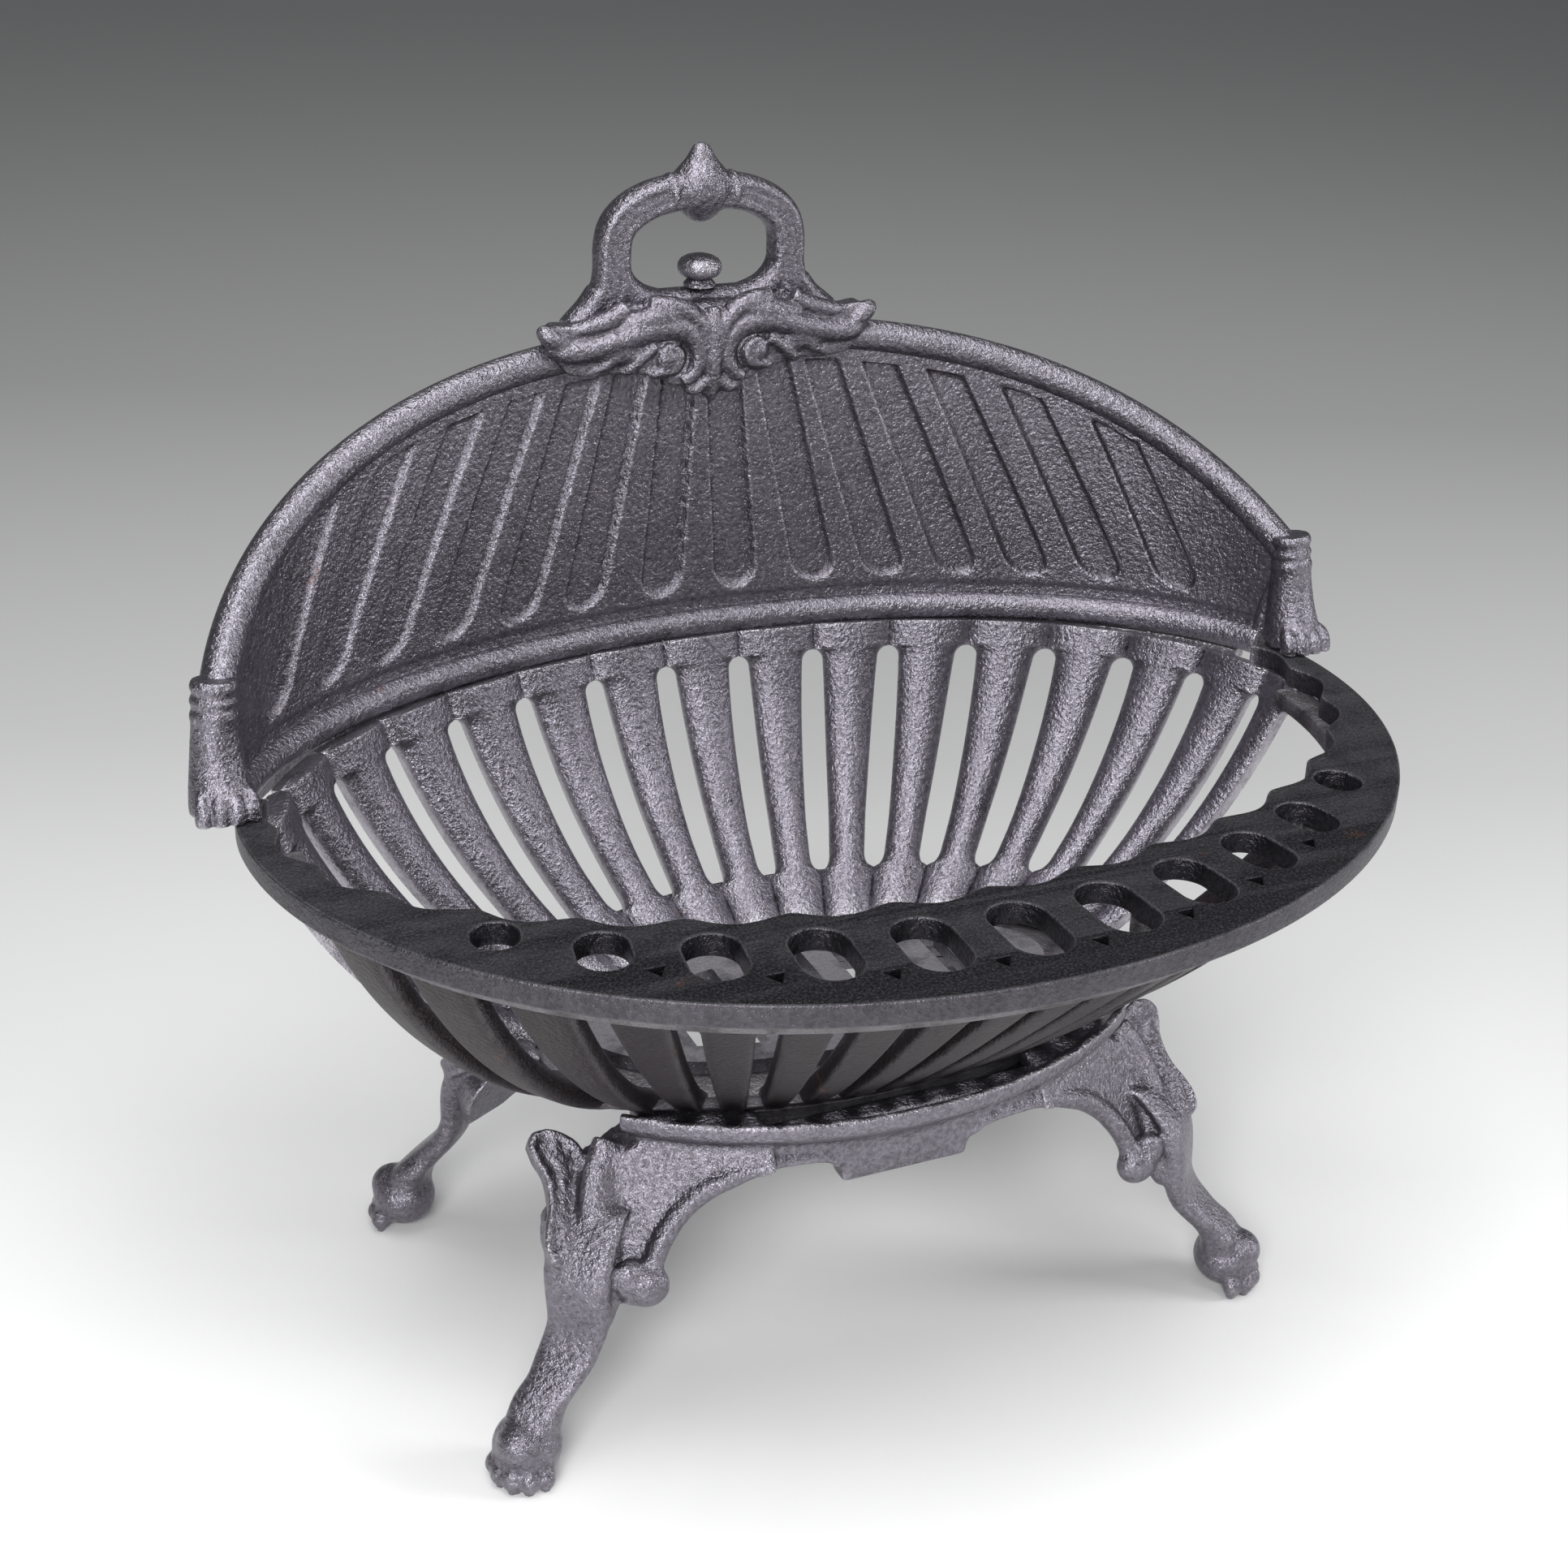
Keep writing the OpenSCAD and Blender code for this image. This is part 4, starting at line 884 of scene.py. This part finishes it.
# The leg's middle leaves (131, -72) along the diagonal: (z, outwards, thick, aside, wide)
LEG_ROWS = (
    (96, -18.5, 1, -1.2, 1), (86, -8, 1, -1.2, 1.02), (78, -2.5, 1, -1.2, 1.03),
    (70, -0.3, 1, -1.7, 1), (62, 0.6, 1, -2.3, 0.95), (55, 1.2, 1, -2.6, 0.92),
    (48, 3.4, 1.1, -1.2, 0.9), (42, 6.9, 1.3, 0.2, 0.88), (36, 12, 1.4, 2, 0.8),
    (30, 17, 1.5, 5, 0.8), (24, 20.5, 1.6, 6, 0.8), (12, 21, 1.5, 8, 0.8))
LEG_HALF_THICK, LEG_HALF_WIDE = 4.75, 13
FOOT_X, FOOT_Y = 153, -83


def shoulder_at(x, z):
    """A point of the shoulder's face, which leans back and turns towards the corner."""
    return Vector((x, -80 + 0.5526 * (x - 60) + 0.525 * (z - 119), z))


def leaf_at(x, v, proud=0.0):
    """A point of the ear leaf's face, moved outwards."""
    return Vector((131 + x, -68 + v * math.cos(LEAF_TILT) - proud * math.sin(LEAF_TILT),
                   85 + v * math.sin(LEAF_TILT) + proud * math.cos(LEAF_TILT)))


def lip(bm):
    """The right half of the lip that the bowl stands in."""
    count = len(LIP_SECTION)
    columns = 60
    past_middle = 0.02

    def shape(u, v):
        column = round(v * (columns + 2))
        share = min(max(column - 1, 0), columns) / columns
        turn = -math.pi / 2 - past_middle + (math.asin(LIP_END_X / LIP_X) + past_middle) * share
        out = Vector((math.cos(turn) / LIP_X, math.sin(turn) / LIP_Y, 0)).normalized()
        edge = Vector((LIP_X * math.cos(turn), LIP_Y * math.sin(turn), 0))
        step, z = LIP_SECTION[round(u * count) % count]
        if column in (0, columns + 2):
            step, z = -9, 117.5
        return edge + out * step + Vector((0, 0, z))

    skin(bm, count, columns + 2, shape)


def shoulder(bm):
    """The apron and the shoulder with its scrolled edge and volute, down to the leg."""
    plate(bm, [(x, -80, z) for x, z in APRON], Vector((0, 10, 0)))
    plate(bm, [shoulder_at(x, z) for x, z in SHOULDER], Vector((0, 17.6, 0)))
    ridge(bm, [(28, -79, 103.4, 2.4, 2), (33, -79.4, 107.4, 2.4, 2), (46, -79.6, 110, 2.6, 2.4),
               (58, -79.8, 111, 3, 2.8), (69, -78.6, 108, 3.8, 3.4), (80, -75.6, 102.4, 4.2, 3.8),
               (89.5, -74.6, 94.8, 4.2, 4), (96.6, -76, 86.4, 4.2, 4), (101, -77.6, 78.6, 4.2, 4),
               (103.6, -79.2, 71.4, 4.2, 4), (108, -80.4, 66.6, 4, 3.6),
               (113.6, -79.6, 67.6, 3.6, 3)], Vector((-0.5, -1, 0.4)), 8, 20)
    ball(bm, (104.6, -80.6, 69.4), (8.4, 6.4, 8.2))
    ball(bm, (111, -78.4, 73), (7, 5, 8))
    ridge(bm, [(104, -49, 112, 12, 6), (110, -54.6, 102, 12, 6), (114.4, -60.6, 92, 11, 6),
               (117, -67.2, 80, 9.6, 6), (118.8, -73, 68, 8, 5.6), (123, -77.6, 55, 5, 4.6)],
          Vector((-0.3, -1, 0.4)), 6, 28)


def ear_leaf(bm):
    """The pointed leaf at the corner: its plate, raised rims, midrib and side veins."""
    plate(bm, [leaf_at(x, v) for x, v in LEAF_EDGE], leaf_at(0, 0, -7.6) - leaf_at(0, 0))
    for line in LEAF_RIMS:
        ridge(bm, [(*leaf_at(x, v), 1.7, 1.9) for x, v in line], LEAF_FACING, 4, 14)
    ridge(bm, [(*leaf_at(x, v, -0.2), w, w) for x, v, w in
               ((1, -3, 2.2), (0.4, 6, 2.2), (-2.4, 16, 2), (-5, 28, 1.7), (-5, 40, 1.2))],
          LEAF_FACING, 5, 14)
    for start in (6, 14, 22, 30):
        x0 = 0.6 - 0.19 * start
        for reach in (-6.4, 5.2):
            ridge(bm, [(*leaf_at(x0, start, -0.3), 1, 1.4),
                       (*leaf_at(x0 + reach * 0.5, start + 4, -0.3), 1.1, 1.5),
                       (*leaf_at(x0 + reach * 0.86, start + 8.4, -0.4), 0.8, 1.2)],
                  LEAF_FACING, 4, 12)


def leg_and_foot(bm):
    """The bent leg on the diagonal, and the lion foot with five toes."""
    outwards, aside = Vector((0.7071, -0.7071, 0)), Vector((0.7071, 0.7071, 0))
    stations = []
    for z, out, thick, sideways, wide in run_through(LEG_ROWS, 4):
        middle = Vector((131, -72, z)) + outwards * out + aside * sideways
        stations.append((middle, outwards * (LEG_HALF_THICK * thick),
                         aside * (LEG_HALF_WIDE * wide)))
    rod(bm, stations, 40, 3.2)
    ball(bm, (FOOT_X, FOOT_Y, 13.4), (13.2, 13.2, 12.4))
    ball(bm, (FOOT_X + 3.6, FOOT_Y - 3.6, 17.4), (9.4, 9.4, 8.6))
    for i in (-2, -1, 0, 1, 2):
        a = math.radians(-45 + 30 * i)
        ball(bm, (FOOT_X + 12 * math.cos(a), FOOT_Y + 12 * math.sin(a), 5.4), (4, 4, 5))


def half_leg_frame(bm):
    """The right half of a leg frame, with the flange and the pad that the seat ring lies on."""
    lip(bm)
    shoulder(bm)
    ear_leaf(bm)
    leg_and_foot(bm)
    plate(bm, [(x, y, 112.8) for x, y in SEAT_FLANGE], Vector((0, 0, -4.8)))
    plate(bm, [(x, y, 111) for x, y in SEAT_PAD], Vector((0, 0, -8)))


class BASKET_OT_stand(bpy.types.Operator):
    """Make the two leg frames with their lips, leaves and lion feet"""

    bl_idname = "basket.stand"
    bl_label = "Stand"

    def execute(self, context):
        bm = bmesh.new()
        half_leg_frame(bm)
        mirror_left(bm)
        bm = meld(bm, 0.9 * context.scene.basket_sizes.casting_detail, 9)
        # The soles are flat on the floor.
        for vert in bm.verts:
            if vert.co.z < 1.5:
                vert.co.z = 0
        rear = bm.copy()
        bmesh.ops.scale(rear, vec=(1, -1, 1), verts=rear.verts[:])
        add_piece("front_legs", bm, "graphite_iron", "stand", ("front_leg_frame",), 60)
        add_piece("rear_legs", rear, "graphite_iron", "stand", ("rear_leg_frame",), 60)
        return {"FINISHED"}


# Finishes


class Shade:
    """A socket of a finish's nodes, with arithmetic."""

    def __init__(self, tree, socket=None):
        self.tree = tree
        self.socket = socket

    def node(self, kind, settings=None, values=None, output=0):
        """Makes any node: its settings first, then the values or links of its sockets."""
        made = self.tree.nodes.new(kind)
        for name, value in (settings or {}).items():
            setattr(made, name, value)
        for name, value in (values or {}).items():
            if isinstance(value, Shade):
                self.tree.links.new(value.socket, made.inputs[name])
            else:
                made.inputs[name].default_value = value
        return Shade(self.tree, made.outputs[output])

    def maths(self, operation, a, b):
        return self.node("ShaderNodeMath", {"operation": operation}, {0: a, 1: b})

    def __add__(self, other):
        return self.maths("ADD", self, other)

    def __radd__(self, other):
        return self.maths("ADD", other, self)

    def __sub__(self, other):
        return self.maths("SUBTRACT", self, other)

    def __rsub__(self, other):
        return self.maths("SUBTRACT", other, self)

    def __mul__(self, other):
        return self.maths("MULTIPLY", self, other)

    def __rmul__(self, other):
        return self.maths("MULTIPLY", other, self)

    def span(self, low, high):
        """Goes from 0 at low to 1 at high, and no further."""
        return self.node("ShaderNodeMapRange", {"clamp": True},
                         {"Value": self, "From Min": low, "From Max": high})

    def tint(self, dark, light):
        """Goes from one colour to another by this value."""
        def colour(c):
            return c if isinstance(c, Shade) else (*c, 1)
        return self.node("ShaderNodeMix", {"data_type": "RGBA"},
                         {0: self, 6: colour(dark), 7: colour(light)}, 2)


def new_finish(name):
    """An empty finish with its surface node."""
    material = bpy.data.materials.new(name)
    material.use_nodes = True
    nodes = material.node_tree.nodes
    return material, Shade(material.node_tree), nodes["Principled BSDF"]


def noise(shade, place, scale, detail, rough=0.55):
    """A cloudy pattern over the object's own space."""
    return shade.node("ShaderNodeTexNoise", {}, {
        "Vector": place, "Scale": scale, "Detail": detail, "Roughness": rough})


def cast_finish(name, colour, edge_wear_and_highlight, rust, metallic=0.95, roughness=0.29, edges=0.7, rusty=0.4,
                grain=1.0, top=None):
    """Sand-cast iron: pebbly grain, cloudy tone, burnished edges with a painted highlight,
    painted shade in the creases and a little rust.

    Edges, rusty and grain say how much of each shows. Top is the colour of faces that look up.
    """
    material, shade, surface = new_finish(name)
    place = shade.node("ShaderNodeTexCoord", output=3)
    pebble = noise(shade, place, 520, 2, 0.5)
    fine = noise(shade, place, 1050, 2, 0.6)
    sand = noise(shade, place, 2100, 1, 0.5)
    cloud = noise(shade, place, 75, 5, 0.6)
    broad = noise(shade, place, 14, 3)
    bend = shade.node("ShaderNodeNewGeometry", output=7)
    # Bright convex edges, broken up by clouds: burnished wear and a painted highlight.
    edge = bend.span(0.512, 0.57) * cloud.span(0.22, 0.55)
    # Painted shade: hollows and creases are darkened where less light would reach.
    painted_crease_shade = 1.0 - bend.span(0.43, 0.498)
    lump = pebble.span(0.34, 0.66)
    tone = cloud.span(0.3, 0.72) * 0.2 + broad.span(0.35, 0.65) * 0.2 + lump * 0.6
    base = tone.tint([c * 0.62 for c in colour], [c * 1.35 for c in colour])
    if top:
        facing = shade.node("ShaderNodeSeparateXYZ", {}, {
            0: shade.node("ShaderNodeNewGeometry", output=1)}, 2).span(0.55, 0.85)
        base = facing.tint(base, top)
        speck = facing * fine.span(0.46, 0.66)
        base = speck.tint(base, [min(1, c * 16) for c in top])
    # Edges take the bright colour, partly wear and partly painted highlight.
    base = (edge * (0.72 * edges)).tint(base, edge_wear_and_highlight)
    # Creases take a darkened colour: painted shade.
    base = (painted_crease_shade * 0.8).tint(base, [c * 0.12 for c in colour])
    spots = noise(shade, place, 48, 4, 0.7).span(0.66, 0.72) * broad.span(0.5, 0.62) * rusty
    base = spots.tint(base, rust)
    links = material.node_tree.links
    links.new(base.socket, surface.inputs["Base Color"])
    gloss = cloud * 0.14 + fine * 0.08 + (roughness - 0.11)
    # Rust spots and the painted crease shade make the iron less metallic.
    metal = metallic - spots * 0.7 - painted_crease_shade * 0.2
    if top:
        gloss = facing * (0.66 - roughness) + gloss
        metal = metal * (1 - facing * 0.85)
        surface.inputs["Specular IOR Level"].default_value = 0.2
    links.new(gloss.socket, surface.inputs["Roughness"])
    links.new(metal.socket, surface.inputs["Metallic"])
    height = pebble * 0.9 + fine * 0.45 + sand * 0.12 + cloud * 0.4
    if top:
        height = height * (facing * 1.4 + 1.0)
    bump = shade.node("ShaderNodeBump", {}, {
        "Strength": 0.8 * grain, "Distance": 0.001, "Height": height})
    links.new(bump.socket, surface.inputs["Normal"])
    return material


class BASKET_OT_finishes(bpy.types.Operator):
    """Make the iron and steel finishes and give them to the CAD's own pieces"""

    bl_idname = "basket.finishes"
    bl_label = "Finishes"

    def execute(self, context):
        look = context.scene.basket_finish
        edge_wear_and_highlight, rust = tuple(look.edge_wear_and_highlight_colour), tuple(look.rust)
        cast_finish("graphite_iron", tuple(look.graphite), edge_wear_and_highlight, rust)
        # Browned iron, darkened with painted shade for the outer bars.
        cast_finish("browned_and_shaded_iron", tuple(look.heat_brown_and_shade), edge_wear_and_highlight, rust,
                    metallic=0.7, roughness=0.4, edges=0.4, rusty=0.7)
        cast_finish("black_topped_iron", [0.3 * c for c in look.graphite], edge_wear_and_highlight, rust,
                    metallic=0.9, roughness=0.36, edges=0.4, rusty=0.35,
                    top=tuple(look.ledge_black))
        cast_finish("dull_steel", tuple(look.steel), edge_wear_and_highlight, rust,
                    metallic=0.9, roughness=0.4, edges=0.3, rusty=0.2, grain=0.4)
        kept = {
            "browned_and_shaded_iron": ("seat_ring",),
            "black_topped_iron": ("bottom_grate",),
            "dull_steel": ("frame_bolts", "frame_nuts", "ledge_screws", "hood_dowels",
                           "crest_bolts"),
        }
        for finish, nodes in kept.items():
            for node in nodes:
                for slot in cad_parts[node].material_slots:
                    slot.material = bpy.data.materials[finish]
        return {"FINISHED"}


# The stage

# Where the camera stands and looks, as fitted to the photograph
CAMERA_PLACE = (-0.35317, -0.70071, 0.6088)
CAMERA_RIGHT = (0.9130, -0.40677, 0.03108)
CAMERA_UP = (0.15238, 0.4107, 0.89894)
CAMERA_BACK = (-0.37843, -0.8160, 0.43696)
SENSOR_WIDTH, FOCAL_LENGTH = 36, 53.22
# The direction across the floor away from the camera, in which the floor's tone, a painted fall-off
# of light, changes
AWAY_X, AWAY_Y = 0.4206, 0.9072
LAMP_AIM = Vector((0, 0, 0.2))
# Each lamp's name, place, size in metres and power in watts
LAMPS = (
    ("lamp_over", (-0.1, -0.15, 2.2), 1.5, 42),
    ("lamp_front", (-1.1, -1.6, 1.25), 0.9, 38),
    ("lamp_right", (1.9, -0.9, 1.0), 0.7, 20),
)


def pale_floor(scene, tint):
    """A wide pale floor, painted greyer behind the basket: painted shade where less light falls."""
    bm = bmesh.new()
    bmesh.ops.create_grid(bm, x_segments=1, y_segments=1, size=12)
    mesh = bpy.data.meshes.new("floor")
    bm.to_mesh(mesh)
    bm.free()
    floor = bpy.data.objects.new("floor", mesh)
    scene.collection.objects.link(floor)
    material, shade, surface = new_finish("pale_floor")
    place = shade.node("ShaderNodeTexCoord", output=3)
    across = shade.node("ShaderNodeSeparateXYZ", {}, {0: place}, 0)
    deep = shade.node("ShaderNodeSeparateXYZ", {}, {0: place}, 1)
    away = across * AWAY_X + deep * AWAY_Y
    # Painted shade: the floor's colour changes away from the camera, standing in for light that
    # falls off.
    pale = (0.96 - away.span(-0.16, 0.09) * 0.25 - away.span(0.09, 0.51) * 0.19
            - away.span(0.51, 1.26) * 0.13 + away.span(1.26, 4.2) * 0.1)
    colour = pale.tint((0, 0, 0), tint)
    material.node_tree.links.new(colour.socket, surface.inputs["Base Color"])
    surface.inputs["Roughness"].default_value = 0.7
    surface.inputs["Specular IOR Level"].default_value = 0.2
    floor.data.materials.append(material)


def soft_light(scene):
    """Three soft lamps and a faint cool light from all round."""
    for name, place, size, power in LAMPS:
        light = bpy.data.lights.new(name, "AREA")
        light.size = size
        light.energy = power
        lamp = bpy.data.objects.new(name, light)
        lamp.location = place
        lamp.rotation_euler = (LAMP_AIM - Vector(place)).to_track_quat("-Z", "Y").to_euler()
        scene.collection.objects.link(lamp)
    world = bpy.data.worlds.new("soft_room")
    world.use_nodes = True
    background = world.node_tree.nodes["Background"]
    background.inputs["Color"].default_value = (0.9, 0.92, 0.95, 1)
    background.inputs["Strength"].default_value = 0.15
    scene.world = world


def photo_camera(scene):
    """The camera, at the photograph's viewing angle."""
    lens = bpy.data.cameras.new("camera")
    lens.sensor_width = SENSOR_WIDTH
    lens.lens = FOCAL_LENGTH
    lens.clip_end = 50
    camera = bpy.data.objects.new("camera", lens)
    turn = Matrix((CAMERA_RIGHT, CAMERA_UP, CAMERA_BACK)).transposed().to_4x4()
    camera.matrix_world = Matrix.Translation(CAMERA_PLACE) @ turn
    scene.collection.objects.link(camera)
    scene.camera = camera


class BASKET_OT_stage(bpy.types.Operator):
    """Make the floor, the lights and the camera"""

    bl_idname = "basket.stage"
    bl_label = "Stage"

    def execute(self, context):
        scene = context.scene
        pale_floor(scene, tuple(scene.basket_finish.floor_tint))
        soft_light(scene)
        photo_camera(scene)
        scene.view_settings.view_transform = "Standard"
        return {"FINISHED"}


class BASKET_PT_panel(bpy.types.Panel):
    """Lists the steps that make the fire basket"""

    bl_idname = "BASKET_PT_panel"
    bl_label = "Fire Basket"
    bl_space_type = "VIEW_3D"
    bl_region_type = "UI"
    bl_category = "Fire Basket"

    def draw(self, context):
        for step in STEPS:
            self.layout.operator(step.bl_idname)
        for group in (context.scene.basket_sizes, context.scene.basket_finish):
            for name in group.bl_rna.properties.keys():
                if name not in ("rna_type", "name"):
                    self.layout.prop(group, name)


STEPS = (BASKET_OT_finishes, BASKET_OT_stand, BASKET_OT_bowl, BASKET_OT_ledge, BASKET_OT_hood,
         BASKET_OT_paws, BASKET_OT_crest, BASKET_OT_handle, BASKET_OT_stage)
CLASSES = (BasketSizes, BasketFinish, *STEPS, BASKET_PT_panel)


def register():
    for item in CLASSES:
        bpy.utils.register_class(item)
    bpy.types.Scene.basket_sizes = bpy.props.PointerProperty(type=BasketSizes)
    bpy.types.Scene.basket_finish = bpy.props.PointerProperty(type=BasketFinish)


def unregister():
    del bpy.types.Scene.basket_finish
    del bpy.types.Scene.basket_sizes
    for item in reversed(CLASSES):
        bpy.utils.unregister_class(item)


def main():
    register()
    bpy.ops.basket.finishes()
    bpy.ops.basket.stand()
    bpy.ops.basket.bowl()
    bpy.ops.basket.ledge()
    bpy.ops.basket.hood()
    bpy.ops.basket.paws()
    bpy.ops.basket.crest()
    bpy.ops.basket.handle()
    bpy.ops.basket.stage()


if __name__ == "__main__":
    main()
